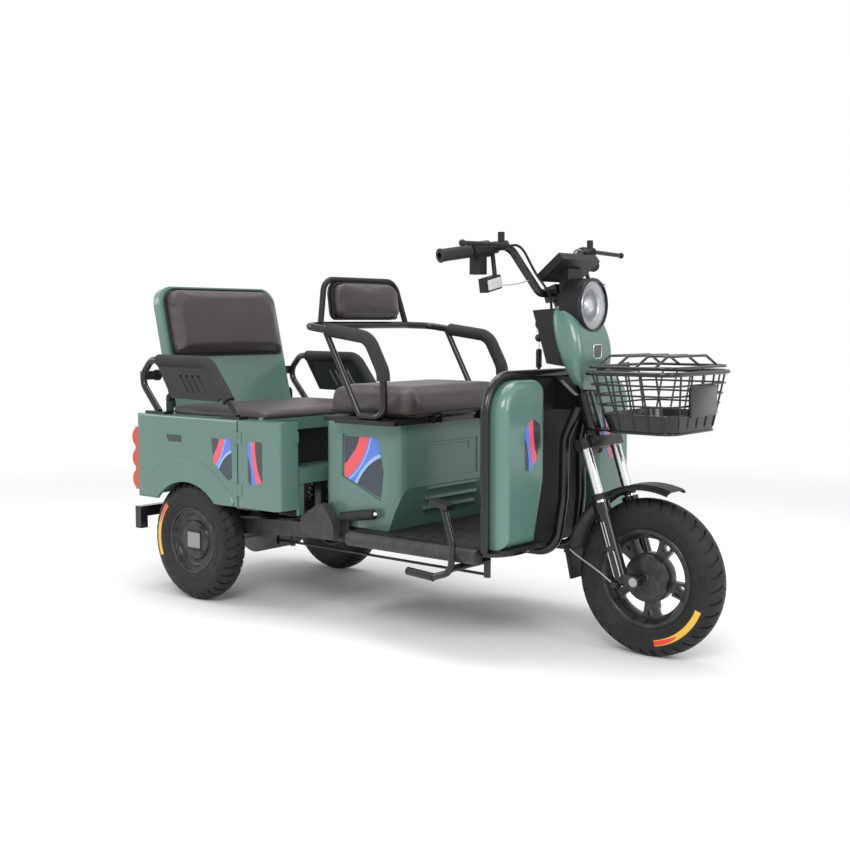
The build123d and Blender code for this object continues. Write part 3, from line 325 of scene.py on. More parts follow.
def makeAgeGroup():
    # uneven tone, and road dust that thins out with height
    inputs = [
        ("Colour", "Color", (0.5, 0.5, 0.5, 1)), ("Worn Colour", "Color", (0.5, 0.5, 0.5, 1)),
        ("Dust Colour", "Color", (0.33, 0.30, 0.26, 1)), ("Dust", "Float", 0.2), ("Dust Top", "Float", 0.45),
    ]
    group, given, result = newGroup("toneAndDust", inputs, [("Colour", "Color"), ("Dust", "Float")])
    place = addNode(group, "TexCoord")
    tone = addNode(group, "TexNoise", values={"Scale": 5.0, "Detail": 3.0})
    toneRange = addNode(group, "MapRange", values={"From Min": 0.35, "From Max": 0.65})
    toned = addNode(group, "Mix", {"data_type": "RGBA"})
    split = addNode(group, "SeparateXYZ")
    lowness = addNode(group, "MapRange", values={"From Min": 0.02, "To Min": 1.0, "To Max": 0.0})
    speckle = addNode(group, "TexNoise", values={"Scale": 38.0, "Detail": 6.0})
    speckleRange = addNode(group, "MapRange", values={"From Min": 0.42, "From Max": 0.75})
    amount = addNode(group, "Math", {"operation": "MULTIPLY"})
    shown = addNode(group, "Math", {"operation": "MULTIPLY"})
    dusted = addNode(group, "Mix", {"data_type": "RGBA"})
    wire(group, [
        (place, "Object", tone, "Vector"), (place, "Object", speckle, "Vector"),
        (place, "Object", split, "Vector"),
        (tone, "Fac", toneRange, "Value"), (toneRange, "Result", toned, "Factor"),
        (given, "Colour", toned, "A"), (given, "Worn Colour", toned, "B"),
        (split, "Z", lowness, "Value"), (given, "Dust Top", lowness, "From Max"),
        (speckle, "Fac", speckleRange, "Value"),
        (lowness, "Result", amount, 0), (speckleRange, "Result", amount, 1),
        (amount, "Value", shown, 0), (given, "Dust", shown, 1), (shown, "Value", dusted, "Factor"),
        (toned, "Result", dusted, "A"), (given, "Dust Colour", dusted, "B"),
        (dusted, "Result", result, "Colour"), (shown, "Value", result, "Dust"),
    ])
    return group


def makeLeatherGroup():
    # pebbled cells with fine pores between them
    group, given, result = newGroup("leatherGrain", [("Cell Scale", "Float", 420.0)], [("Height", "Float")])
    place = addNode(group, "TexCoord")
    cells = addNode(group, "TexVoronoi", {"feature": "DISTANCE_TO_EDGE"})
    limit = addNode(group, "MapRange", values={"From Max": 0.18})
    pores = addNode(group, "TexNoise", values={"Scale": 1400.0, "Detail": 1.0})
    total = addNode(group, "Mix", {"data_type": "FLOAT"}, {"Factor": 0.25})
    wire(group, [
        (place, "Object", cells, "Vector"), (place, "Object", pores, "Vector"),
        (given, "Cell Scale", cells, "Scale"), (cells, "Distance", limit, "Value"),
        (limit, "Result", total, "A"), (pores, "Fac", total, "B"), (total, "Result", result, "Height"),
    ])
    return group


def makeBandGroup():
    # one curved band across a sticker, from its UV map
    inputs = [("Centre", "Vector", (0.0, 0.0, 0.0)), ("Radius", "Float", 0.5), ("Width", "Float", 0.1)]
    group, given, result = newGroup("curvedBand", inputs, [("Mask", "Float")])
    flat = addNode(group, "UVMap")
    away = addNode(group, "VectorMath", {"operation": "DISTANCE"})
    offset = addNode(group, "Math", {"operation": "SUBTRACT"})
    size = addNode(group, "Math", {"operation": "ABSOLUTE"})
    inside = addNode(group, "Math", {"operation": "LESS_THAN"})
    wire(group, [
        (flat, "UV", away, 0), (given, "Centre", away, 1),
        (away, "Value", offset, 0), (given, "Radius", offset, 1),
        (offset, "Value", size, 0), (size, "Value", inside, 0), (given, "Width", inside, 1),
        (inside, "Value", result, "Mask"),
    ])
    return group


grainGroup = makeGrainGroup()
ageGroup = makeAgeGroup()
leatherGroup = makeLeatherGroup()
bandGroup = makeBandGroup()

# materials: a finish has these values, and its own where it differs

plainFinish = dict(coat=0.0, metallic=0.0, specular=0.5, dust=0.0, dustTop=0.4)
finishes = {
    "greenGloss": dict(colour=(0.092, 0.182, 0.155), worn=(0.098, 0.190, 0.162), roughness=0.24, coat=0.3,
                       dust=0.02, grain=(12, 90, 0.3), bump=0.0012),
    "blackEnamel": dict(colour=(0.006, 0.006, 0.007), worn=(0.010, 0.010, 0.011), roughness=0.20, coat=0.25,
                        specular=0.35, dust=0.08, grain=(40, 300, 0.5), bump=0.006),
    "greyEnamel": dict(colour=(0.030, 0.031, 0.033), worn=(0.040, 0.041, 0.042), roughness=0.42, coat=0.1,
                       specular=0.25, dust=0.25, grain=(60, 500, 0.5), bump=0.04),
    "satinPlastic": dict(colour=(0.010, 0.010, 0.011), worn=(0.015, 0.015, 0.016), roughness=0.46,
                         specular=0.25, dust=0.15, grain=(160, 1100, 0.7), bump=0.05),
    "foamSleeve": dict(colour=(0.028, 0.028, 0.029), worn=(0.040, 0.040, 0.041), roughness=0.78,
                       specular=0.25, grain=(300, 1500, 0.6), bump=0.18),
    "gripRubber": dict(colour=(0.022, 0.022, 0.023), worn=(0.034, 0.034, 0.035), roughness=0.62,
                       specular=0.25, grain=(300, 1500, 0.6), bump=0.10),
    "tyreRubber": dict(colour=(0.010, 0.010, 0.011), worn=(0.015, 0.015, 0.015), roughness=0.55,
                       specular=0.28, dust=0.05, dustTop=0.5, grain=(120, 900, 0.6), bump=0.10),
    "rimPaint": dict(colour=(0.014, 0.014, 0.015), worn=(0.022, 0.022, 0.023), roughness=0.34, coat=0.2,
                     specular=0.25, dust=0.18, dustTop=0.5, grain=(60, 500, 0.5), bump=0.03),
    "floorRubber": dict(colour=(0.014, 0.014, 0.015), worn=(0.024, 0.024, 0.024), roughness=0.50,
                        specular=0.25, dust=0.25, dustTop=0.5, grain=(200, 1200, 0.6), bump=0.08),
    "bareSteel": dict(colour=(0.36, 0.36, 0.37), worn=(0.25, 0.24, 0.23), roughness=0.34, metallic=1.0,
                      dust=0.2, grain=(90, 1400, 0.6), bump=0.05),
    "castAlloy": dict(colour=(0.22, 0.22, 0.23), worn=(0.16, 0.16, 0.16), roughness=0.48, metallic=0.8,
                      dust=0.3, grain=(200, 1500, 0.5), bump=0.15),
    "chromePlate": dict(colour=(0.78, 0.79, 0.80), worn=(0.70, 0.70, 0.71), roughness=0.10, metallic=1.0,
                        dust=0.05, grain=(40, 900, 0.5), bump=0.01),
    "plateGrey": dict(colour=(0.23, 0.25, 0.25), worn=(0.27, 0.29, 0.29), roughness=0.40,
                      dust=0.1, grain=(80, 700, 0.5), bump=0.03),
    "lampRed": dict(colour=(0.46, 0.030, 0.008), worn=(0.52, 0.045, 0.010), roughness=0.16, coat=0.6,
                    dust=0.05, dustTop=0.5, grain=(90, 700, 0.5), bump=0.03),
    "batteryCase": dict(colour=(0.03, 0.03, 0.032), worn=(0.05, 0.05, 0.05), roughness=0.55,
                        specular=0.25, dust=0.1, dustTop=0.6, grain=(160, 1100, 0.7), bump=0.06),
    "screenGlass": dict(colour=(0.006, 0.007, 0.009), worn=(0.008, 0.009, 0.011), roughness=0.08, coat=0.7,
                        grain=(20, 200, 0.3), bump=0.004),
    "reflector": dict(colour=(0.42, 0.43, 0.44), worn=(0.36, 0.37, 0.38), roughness=0.24, coat=0.2,
                      metallic=0.9, grain=(300, 900, 0.6), bump=0.06),
    "lampFrost": dict(colour=(0.55, 0.56, 0.56), worn=(0.45, 0.46, 0.47), roughness=0.14, coat=0.6,
                      grain=(90, 500, 0.5), bump=0.02),
    "badge": dict(colour=(0.020, 0.022, 0.026), worn=(0.03, 0.032, 0.036), roughness=0.22, coat=0.5,
                  dust=0.05, grain=(90, 500, 0.5), bump=0.01),
    "cableGrey": dict(colour=(0.36, 0.37, 0.37), worn=(0.30, 0.31, 0.31), roughness=0.5,
                      dust=0.2, grain=(200, 900, 0.5), bump=0.05),
    "whiteLine": dict(colour=(0.62, 0.63, 0.64), worn=(0.55, 0.56, 0.57), roughness=0.4,
                      dust=0.1, grain=(80, 700, 0.5), bump=0.02),
}
leatherLook = dict(colour=(0.026, 0.018, 0.0165), worn=(0.033, 0.023, 0.021), rough=(0.52, 0.38), sheen=0.08,
                   cells=420.0, bump=0.35, bumpDepth=0.0006)
glassLook = dict(colour=(0.95, 0.97, 1.0), roughness=0.03, clearness=0.92, bending=1.46)


def startMaterial(name, roughness, metallic=0.0, coat=0.0):
    material = bpy.data.materials.new(name)
    material.use_nodes = True
    tree = material.node_tree
    shader = tree.nodes["Principled BSDF"]
    shader.inputs["Roughness"].default_value = roughness
    shader.inputs["Metallic"].default_value = metallic
    shader.inputs["Coat Weight"].default_value = coat
    shader.inputs["Coat Roughness"].default_value = 0.12
    return material, tree, shader


def addGroup(tree, group, values):
    node = tree.nodes.new("ShaderNodeGroup")
    node.node_tree = group
    for label, value in values.items():
        node.inputs[label].default_value = value
    return node


def addBump(tree, shader, grain, strength, distance=0.001):
    bump = addNode(tree, "Bump", values={"Strength": strength, "Distance": distance})
    wire(tree, [(grain, "Height", bump, "Height"), (bump, "Normal", shader, "Normal")])


def makeFinish(name, ownLook):
    look = {**plainFinish, **ownLook}
    material, tree, shader = startMaterial(name, look["roughness"], look["metallic"], look["coat"])
    shader.inputs["Specular IOR Level"].default_value = look["specular"]
    age = addGroup(tree, ageGroup, {
        "Colour": (*look["colour"], 1), "Worn Colour": (*look["worn"], 1),
        "Dust": look["dust"], "Dust Top": look["dustTop"],
    })
    scale, fineScale, fineness = look["grain"]
    grain = addGroup(tree, grainGroup, {"Scale": scale, "Fine Scale": fineScale, "Fineness": fineness})
    rough = addNode(tree, "MapRange", values={
        "From Min": 0.3, "From Max": 0.7,
        "To Min": look["roughness"] * 0.85, "To Max": look["roughness"] * 1.15,
    })
    dusty = addNode(tree, "Math", {"operation": "ADD"})
    wire(tree, [
        (age, "Colour", shader, "Base Color"),
        (grain, "Patches", rough, "Value"), (rough, "Result", dusty, 0), (age, "Dust", dusty, 1),
        (dusty, "Value", shader, "Roughness"),
    ])
    addBump(tree, shader, grain, look["bump"] * 10)
    return material


def makeLeather():
    look = leatherLook
    material, tree, shader = startMaterial("brownLeatherette", 0.42)
    shader.inputs["Sheen Weight"].default_value = look["sheen"]
    colours = {"Colour": (*look["colour"], 1), "Worn Colour": (*look["worn"], 1), "Dust": 0.0}
    age = addGroup(tree, ageGroup, colours)
    grain = addGroup(tree, leatherGroup, {"Cell Scale": look["cells"]})
    rough = addNode(tree, "MapRange", values={"To Min": look["rough"][0], "To Max": look["rough"][1]})
    wire(tree, [
        (age, "Colour", shader, "Base Color"),
        (grain, "Height", rough, "Value"), (rough, "Result", shader, "Roughness"),
    ])
    addBump(tree, shader, grain, look["bump"], look["bumpDepth"])
    return material


def makeGlass():
    look = glassLook
    material, tree, shader = startMaterial("clearLampGlass", look["roughness"])
    shader.inputs["Base Color"].default_value = (*look["colour"], 1)
    shader.inputs["Transmission Weight"].default_value = look["clearness"]
    shader.inputs["IOR"].default_value = look["bending"]
    return material


def makeSticker(name, base, bands):
    # a printed film with curved colour bands laid over a base colour
    material, tree, shader = startMaterial(name, 0.3, coat=0.3)
    paint = addNode(tree, "RGB")
    paint.outputs[0].default_value = (*base, 1)
    colour = paint.outputs[0]
    for centre, radius, width, tint in bands:
        band = addGroup(tree, bandGroup, {"Centre": (*centre, 0), "Radius": radius, "Width": width})
        mix = addNode(tree, "Mix", {"data_type": "RGBA"})
        mix.inputs["B"].default_value = (*tint, 1)
        wire(tree, [(band, "Mask", mix, "Factor")])
        tree.links.new(colour, mix.inputs["A"])
        colour = mix.outputs["Result"]
    tree.links.new(colour, shader.inputs["Base Color"])
    return material


slate = (0.030, 0.042, 0.055)
blue = (0.085, 0.190, 0.640)
paleBlue = (0.30, 0.46, 0.82)
coral = (0.78, 0.085, 0.105)
amber = (0.80, 0.44, 0.03)
orangeRed = (0.72, 0.05, 0.02)
stickers = {  # base colour, then the centre, radius, half width and colour of each band
    "stickerWide": (slate, [((1.25, -0.35), 1.28, 0.20, blue), ((1.25, -0.35), 1.10, 0.030, paleBlue),
                            ((-0.45, 1.30), 1.02, 0.115, coral), ((-0.45, 1.30), 1.18, 0.014, paleBlue)]),
    "stickerTall": (slate, [((-0.60, 0.05), 1.02, 0.16, blue), ((-0.60, 0.05), 1.215, 0.018, paleBlue),
                            ((1.55, 0.95), 1.16, 0.13, coral)]),
    "tyreLabel": (amber, [((0.0, 0.5), 0.0, 0.42, orangeRed)]),
}

looks = {name: makeFinish(name, look) for name, look in finishes.items()}
looks["leather"] = makeLeather()
looks["clearGlass"] = makeGlass()
for name, (base, bands) in stickers.items():
    looks[name] = makeSticker(name, base, bands)
print("materials ready:", len(looks))

# materials on the solids whose shape stays as built

slotLooks = {
    "body_green": "greenGloss", "frame_black": "blackEnamel", "plastic_black": "satinPlastic",
    "axle_steel": "bareSteel", "motor_metal": "castAlloy", "shock_black": "blackEnamel",
    "rail_grey": "greyEnamel", "foam_black": "foamSleeve", "lamp_red": "lampRed",
    "battery_black": "batteryCase", "stanchion_silver": "chromePlate", "grip_rubber": "gripRubber",
    "lens_clear": "clearGlass", "leather_brown": "leather", "tyre_black": "tyreRubber",
    "rim_black": "rimPaint", "cable_grey": "cableGrey",
}
for node in nodes.values():
    for holder in node.material_slots:
        given = holder.material.name.split(".")[0]
        holder.material = looks[slotLooks[given]]

# camera

cameraLook = dict(place=(2989.2, -2831.8, 873.3), along=(-0.6326, 0.770, -0.082), lens=52.04, sensor=36.0,
                  shiftY=-0.0022)


def makeCamera():
    look = cameraLook
    camera = bpy.data.cameras.new("studioCamera")
    camera.lens = look["lens"]
    camera.sensor_width = look["sensor"]
    camera.shift_y = look["shiftY"]
    holder = bpy.data.objects.new("studioCamera", camera)
    bpy.context.scene.collection.objects.link(holder)
    holder.location = at(*look["place"])
    holder.rotation_euler = Vector(look["along"]).to_track_quat("-Z", "Y").to_euler()
    bpy.context.scene.camera = holder


makeCamera()

# free cables: routes in millimetres, length and diameter in metres

leverCable = dict(look="satinPlastic", slot="plastic_black", length=0.258, diameter=0.007, stiffness="medium",
                  lay="hanging")
leverRoute = [(1104, -207, 1068), (1108, -186, 1073), (1112, -164, 1075), (1114, -138, 1062),
              (1119, -118, 1032), (1133, -104, 996), (1150, -88, 966), (1155, -66, 936), (1148, -56, 904)]
cables = {
    "frontBrakeCable": dict(node="front_brake_cable", look="cableGrey", slot="cable_grey", length=0.182,
                            diameter=0.0044, stiffness="medium", lay="loose",
                            route=[(1212, -52, 262), (1240, -60, 249), (1304, -86, 232), (1350, -98, 213),
                                   (1374, -99, 197)]),
    "rightLeverCable": dict(leverCable, node="lever_cable_right", route=leverRoute),
    "leftLeverCable": dict(leverCable, node="lever_cable_left", route=[(x, -y, z) for x, y, z in leverRoute]),
    "rightLampWire": dict(node="lamp_wire_right", look="cableGrey", slot="cable_grey", length=0.120,
                          diameter=0.0032, stiffness="limp", lay="hanging",
                          route=[(1094, -227, 970), (1102, -200, 969), (1110, -164, 973), (1117, -130, 981),
                                 (1114, -111, 985)]),
}


def makeCable(name, look):
    curve = bpy.data.curves.new(name, "CURVE")
    curve.dimensions = "3D"
    curve.bevel_depth = look["diameter"] / 2
    curve.bevel_resolution = 3
    curve.use_fill_caps = True
    spline = curve.splines.new("NURBS")
    spline.points.add(len(look["route"]) - 1)
    for point, place in zip(spline.points, look["route"]):
        point.co = (*at(*place), 1)
    spline.order_u = 3
    spline.use_endpoint_u = True
    cable = bpy.data.objects.new(name, curve)
    bpy.context.scene.collection.objects.link(cable)
    curve.materials.append(looks[look["look"]])
    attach(cable, "steering")
    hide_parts(look["node"])


for name, look in cables.items():
    makeCable(name, look)
print("cables made")

# tyres: tread blocks cut by slanted grooves, moulded side rings and a printed arc

tyreLook = dict(steps=180, pitch=5, grooveDepth=0.004, slantSteps=3.2, groovedFrom=0.10, groovedTo=0.86,
                treadShare=0.26)
labelLook = dict(along=36, across=5, lift=0.35, thick=0.0006)
crownProfile = [(0, 0), (0.14, 0.004), (0.28, 0.014), (0.42, 0.034), (0.56, 0.07), (0.68, 0.12), (0.78, 0.18),
                (0.86, 0.25)]
sideProfile = [(0.92, 0.31), (0.97, 0.40), (1.0, 0.52), (0.99, 0.62), (0.955, 0.70), (0.972, 0.725),
               (0.972, 0.75), (0.94, 0.775), (0.91, 0.83), (0.90, 0.88), (0.85, 0.93), (0.80, 0.975),
               (0.76, 1.0)]
frontTyre = dict(radius=208, width=78, bead=127, label=(160, 176), span=(-79, -22))
rearTyre = dict(radius=190, width=82, bead=102, label=(142, 157), span=(136, 204))
frontHub = at(1430, 0, 208)
rearHub = {"right": at(0, -314, 190), "left": at(0, 314, 190)}


def wallPoints(look, profile):
    # (radius, width) points of one half of the section
    depth = look["radius"] - look["bead"]
    return [(look["radius"] - share * depth, across * look["width"] / 2) for across, share in profile]


def makeTyre(name, look, middle):
    half = look["width"] / 2 * mm
    treadFoot = look["radius"] - tyreLook["treadShare"] * (look["radius"] - look["bead"])
    right = wallPoints(look, crownProfile + sideProfile)
    left = [(away, -across) for away, across in reversed(right[1:])]
    piece = turnedShape(name, right + left, steps=tyreLook["steps"])
    step = math.tau / tyreLook["steps"]
    pitch = tyreLook["pitch"]
    full = crownProfile[-1][0]

    def slant(across):
        return tyreLook["slantSteps"] * step * min(abs(across) / half / full, 1.0)

    for vertex in piece.data.vertices:
        vertex.co = Matrix.Rotation(slant(vertex.co.y), 3, "Y") @ vertex.co

    def isGroove(face):
        place = face.calc_center_median()
        if math.hypot(place.x, place.z) / mm < treadFoot:
            return False
        if not tyreLook["groovedFrom"] < abs(place.y) / half < tyreLook["groovedTo"]:
            return False
        column = (math.atan2(-place.z, place.x) - slant(place.y)) / step
        offset = 0 if place.y > 0 else pitch / 2
        return int(math.floor(column + offset + 100 * pitch)) % pitch == 0

    startEdit(piece)
    pick(piece, isGroove)
    bpy.ops.mesh.extrude_region_shrink_fatten(TRANSFORM_OT_shrink_fatten={"value": -tyreLook["grooveDepth"]})
    endEdit()
    piece.data.transform(Matrix.Translation(middle))
    return piece


def sideRings(look):
    # points on the side wall across the label, lifted a little off it
    low, high = look["label"]
    wall = wallPoints(look, crownProfile[-2:] + sideProfile)
    rings = []
    for number in range(labelLook["across"] + 1):
        away = low + (high - low) * number / labelLook["across"]
        for (outer, outerWidth), (inner, innerWidth) in zip(wall, wall[1:]):
            if inner <= away <= outer:
                share = (away - inner) / (outer - inner)
                rings.append((away, innerWidth + share * (outerWidth - innerWidth) + labelLook["lift"]))
                break
    return rings


def makeTyreLabel(name, look, middle, side):
    # a thin printed arc that follows the bulge of the side wall
    clearSelection()
    rings = sideRings(look)
    across = labelLook["across"]
    bpy.ops.mesh.primitive_grid_add(x_subdivisions=labelLook["along"], y_subdivisions=across, size=1)
    piece = newPiece(name)
    flat = piece.data.uv_layers.active
    for loop in piece.data.loops:
        place = piece.data.vertices[loop.vertex_index].co
        flat.data[loop.index].uv = (place.x + 0.5, place.y + 0.5)
    first, last = look["span"]
    for vertex in piece.data.vertices:
        turn = math.radians(first + (last - first) * (vertex.co.x + 0.5))
        radius, width = rings[round((vertex.co.y + 0.5) * across)]
        vertex.co = (radius * mm * math.cos(turn), side * width * mm, radius * mm * math.sin(turn))
    startEdit(piece, "VERT")
    bpy.ops.mesh.select_all(action="SELECT")
    bpy.ops.mesh.remove_doubles(threshold=0.00001)
    bpy.ops.mesh.normals_make_consistent(inside=False)
    endEdit()
    addWall(piece, labelLook["thick"], 0.0)
    piece.data.transform(Matrix.Translation(middle))
    return piece


for side, middle in {"front": frontHub, **rearHub}.items():
    look = frontTyre if side == "front" else rearTyre
    body = "front_wheel" if side == "front" else f"rear_wheel_{side}"
    node = "front_tyre" if side == "front" else f"rear_tyre_{side}"
    dress(makeTyre(f"{side}TreadedTyre", look, middle), body, "tyreRubber", [node], 28)
    label = makeTyreLabel(f"{side}TyreLabel", look, middle, 1 if side == "left" else -1)
    dress(label, body, "tyreLabel")
print("tyres made")

# cast front wheel

castWheel = dict(segments=90, spokePairs=5, barSteps=2, slotSteps=2, discRadius=112, windowOuter=104,
                 slotInner=84, windowInner=66, hubRing=40, thickness=0.024, edge=0.0022, edgeAngle=50,
                 turn=97)
valveLook = dict(foot=(0.095, -0.012, -0.045), tip=(0.072, -0.022, -0.034), radius=0.0035, sides=12)
frontRimProfile = [(118, -33), (120, -34.5), (128, -34.5), (130, -33), (129, -31), (124, -30), (122, -22),
                   (114, -14), (114, 14), (122, 22), (124, 30), (129, 31), (130, 33), (128, 34.5),
                   (120, 34.5), (118, 33), (116, 26), (109, 16), (109, -16), (116, -26)]
hubProfile = [(0, -50), (7, -50), (8, -47), (15, -47), (17, -45), (19, -38), (24, -36), (50, -34),
              (54, -33.5), (56, -31.5), (60, -31), (62, -29), (62, 22), (60, 25), (30, 27), (24, 32),
              (20, 47), (0, 47)]


def makeCastWheel():
    look = castWheel
    clearSelection()
    bpy.ops.mesh.primitive_circle_add(
        vertices=look["segments"], radius=look["discRadius"] * mm, fill_type="NGON"
    )
    disc = newPiece("disc")
    startEdit(disc)
    bpy.ops.mesh.select_all(action="SELECT")
    radii = [look[name] for name in ("discRadius", "windowOuter", "slotInner", "windowInner", "hubRing")]
    for outer, inner in zip(radii, radii[1:]):
        bpy.ops.mesh.inset(thickness=(outer - inner) * mm)
    sector = look["segments"] // look["spokePairs"]
    pairSteps = 2 * look["barSteps"] + look["slotSteps"]

    def isWindow(face):
        place = face.calc_center_median()
        away = place.xy.length / mm
        share = (math.atan2(place.y, place.x) % math.tau) / math.tau
        column = int(share * look["segments"]) % sector
        inPair = column < pairSteps
        if inPair and look["barSteps"] <= column < pairSteps - look["barSteps"]:
            return look["slotInner"] < away < look["windowOuter"]
        return not inPair and look["windowInner"] < away < look["windowOuter"]

    pick(disc, isWindow)
    bpy.ops.mesh.delete(type="FACE")
    endEdit()
    applyModifier(disc, "smooth", "SUBSURF", levels=2, render_levels=2)
    addWall(disc, look["thickness"], 0.0)
    roundEdges(disc, look["edge"], 2, look["edgeAngle"])
    disc.data.transform(Matrix.Translation(frontHub) @ turnAbout("Y", look["turn"]) @ turnAbout("X", 90))
    rim = turnedShape("rim", frontRimProfile, frontHub, 96)
    hub = turnedShape("hub", hubProfile, frontHub, 64)
    foot, tip = frontHub + Vector(valveLook["foot"]), frontHub + Vector(valveLook["tip"])
    valve = addRod("valve", foot, tip, valveLook["radius"], valveLook["sides"])
    return joinPieces("castFrontWheel", [disc, rim, hub, valve])


dress(makeCastWheel(), "front_wheel", "rimPaint", ["front_rim"], 32)

# pressed rear wheels with a deep dish and a capped hub

dishProfile = [(0, -29), (30, -29), (34, -26), (34, 3), (88, 3), (94, -2), (95, -29), (97, -33), (103, -34),
               (104.5, -32), (103, -30), (100, -28), (98, -18), (98, 18), (100, 28), (103, 30), (104.5, 32),
               (103, 34), (98, 34), (96.5, 32), (95.5, 28), (90, 26.5), (88.5, 23), (84, 22), (81, 17),
               (76, 14), (68, 13.3), (64, 15), (60, 21), (56, 22), (0, 22)]
capLook = dict(width=98, height=92, cut=20, face=22, lift=3.2, gap=2.4, sunk=2, edge=0.0014, bandRoom=6)
hubPlateLook = dict(width=58, height=48, sunk=1, stand=1.2, corner=0.005, edge=0.0005)


def makeCapSlice(name, low, high):
    # one slice of the six-sided hub cap between two heights
    look = capLook
    half = look["width"] / 2
    slab = addBox(name, Vector((-half, look["face"] - look["sunk"], low)) * mm,
                  Vector((half, look["face"] + look["lift"], high)) * mm)
    outer = max(abs(low), abs(high))
    startEdit(slab, "VERT")
    pick(slab, lambda vertex: abs(abs(vertex.co.z) - outer * mm) < touch, "verts")
    bpy.ops.transform.resize(value=(1 - 2 * look["cut"] / look["width"], 1, 1))
    endEdit()
    roundEdges(slab, look["edge"], 2)
    return slab


def makeRearWheel(side):
    look = capLook
    dish = turnedShape("dish", dishProfile, steps=96)
    band = hubPlateLook["height"] / 2 + look["bandRoom"]
    top = look["height"] / 2
    slices = [makeCapSlice("capMiddle", -band, band), makeCapSlice("capTop", band + look["gap"], top),
              makeCapSlice("capLow", -top, -band - look["gap"])]
    wheel = joinPieces("dish", [dish] + slices)
    halfWidth, halfHeight = hubPlateLook["width"] / 2, hubPlateLook["height"] / 2
    face = look["face"] + look["lift"]
    plate = addBox("plate", Vector((-halfWidth, face - hubPlateLook["sunk"], -halfHeight)) * mm,
                   Vector((halfWidth, face + hubPlateLook["stand"], halfHeight)) * mm)
    bevelCorners(plate, 1, hubPlateLook["corner"], 5)
    roundEdges(plate, hubPlateLook["edge"], 1)
    place = Matrix.Translation(rearHub[side])
    if side == "right":
        place = place @ turnAbout("Z", 180)
    for piece, name in ((wheel, "RearWheel"), (plate, "RearHubPlate")):
        piece.data.transform(place)
        piece.name = side + name
    return wheel, plate


for side in ("right", "left"):
    wheel, plate = makeRearWheel(side)
    dress(wheel, f"rear_wheel_{side}", "rimPaint", [f"rear_rim_{side}"], 32)
    dress(plate, f"rear_wheel_{side}", "plateGrey")
print("wheels made")

# lying cushions: place and rounding in millimetres, then how the cloth fills

flatPads = {
    "frontSeat": dict(body="seat_lid", node="front_seat_cushion", low=(484, -250, 606), high=(806, 250, 690),
                      inset=6, foot=1.0, corner=40, edge=24, rests=10, fill=0.9, pressure=3.0, frames=16,
                      cap=0.009, relax=6, voxel=0.006),
    "rearBench": dict(body="chassis", node="rear_seat_cushion", low=(-158, -305, 581), high=(292, 305, 606),
                      inset=4, foot=0.6, corner=28, edge=10, rests=8, fill=0.8, pressure=2.0, frames=14,
                      cap=0.005, relax=4, voxel=0.006),
}


def inflatePad(pad, look, restTop):
    # voxel squares, then cloth under pressure with the resting face held, then a cap on how far points moved
    applyModifier(pad, "squares", "REMESH", mode="VOXEL", voxel_size=look["voxel"])
    before = [vertex.co.copy() for vertex in pad.data.vertices]
    held = pad.vertex_groups.new(name="resting")
    held.add([v.index for v in pad.data.vertices if v.co.z < restTop], 1.0, "REPLACE")
    fill = pad.modifiers.new("fill", "CLOTH")
    fill.settings.quality = 5
    fill.settings.use_pressure = True
    fill.settings.uniform_pressure_force = look["pressure"]
    fill.settings.vertex_group_mass = held.name
    fill.settings.effector_weights.gravity = 0
    fill.point_cache.frame_end = look["frames"]
    scene = bpy.context.scene
    for number in range(1, look["frames"] + 1):
        scene.frame_set(number)
    makeActive(pad)
    bpy.ops.object.modifier_apply(modifier=fill.name)
    scene.frame_set(1)
    pad.vertex_groups.clear()
    for vertex, start in zip(pad.data.vertices, before):
        move = vertex.co - start
        if move.length > look["cap"]:
            vertex.co = start + move.normalized() * look["cap"]
    applyModifier(pad, "relax", "SMOOTH", factor=0.5, iterations=look["relax"])


def bevelTop(pad, top, width, segments):
    # softens the edges around the upper face
    startEdit(pad, "EDGE")
    pick(pad, lambda edge: min(v.co.z for v in edge.verts) > top - touch, "edges")
    bpy.ops.mesh.bevel(offset=width, segments=segments, affect="EDGES")
    endEdit()


def finishPad(pad, body, node):
    dress(pad, body, "leather", [node], 60)
    print(pad.name, "made")


def padBox(look):
    # the cushion's corners, drawn in by its inset so that the filling has room
    gap = Vector((look["inset"], look["inset"], look["foot"])) * mm
    inset = Vector((look["inset"],) * 3) * mm
    return at(*look["low"]) + gap, at(*look["high"]) - inset


for name, look in flatPads.items():
    low, high = padBox(look)
    pad = addBox(name, low, high)
    bevelCorners(pad, 2, look["corner"] * mm, 6)
    bevelTop(pad, high.z, look["edge"] * mm, 4)
    inflatePad(pad, look, (look["low"][2] + look["rests"]) * mm)
    finishPad(pad, look["body"], look["node"])

# backrest pads, piped along the edge

standingPads = {
    "rearBackPad": dict(body="backrest", node="rear_backrest_pad", width=484, low=137, high=364, back=15,
                        front=55, corners=(50, 8), pivot=(-193, 0, 625), lean=13.3, inset=5, edge=16, rests=6,
                        pressure=3.0, frames=14, cap=0.007, relax=5, voxel=0.006),
    "frontBackPad": dict(body="chassis", node="front_backrest_pad", width=290, low=14, high=124, back=3,
                         front=38, corners=(40, 20), pivot=(421, 0, 868), lean=7.6, inset=4, edge=14, rests=6,
                         pressure=3.0, frames=14, cap=0.007, relax=4, voxel=0.005),
}
backPiping = dict(radius=3.2, inset=1, forward=6)


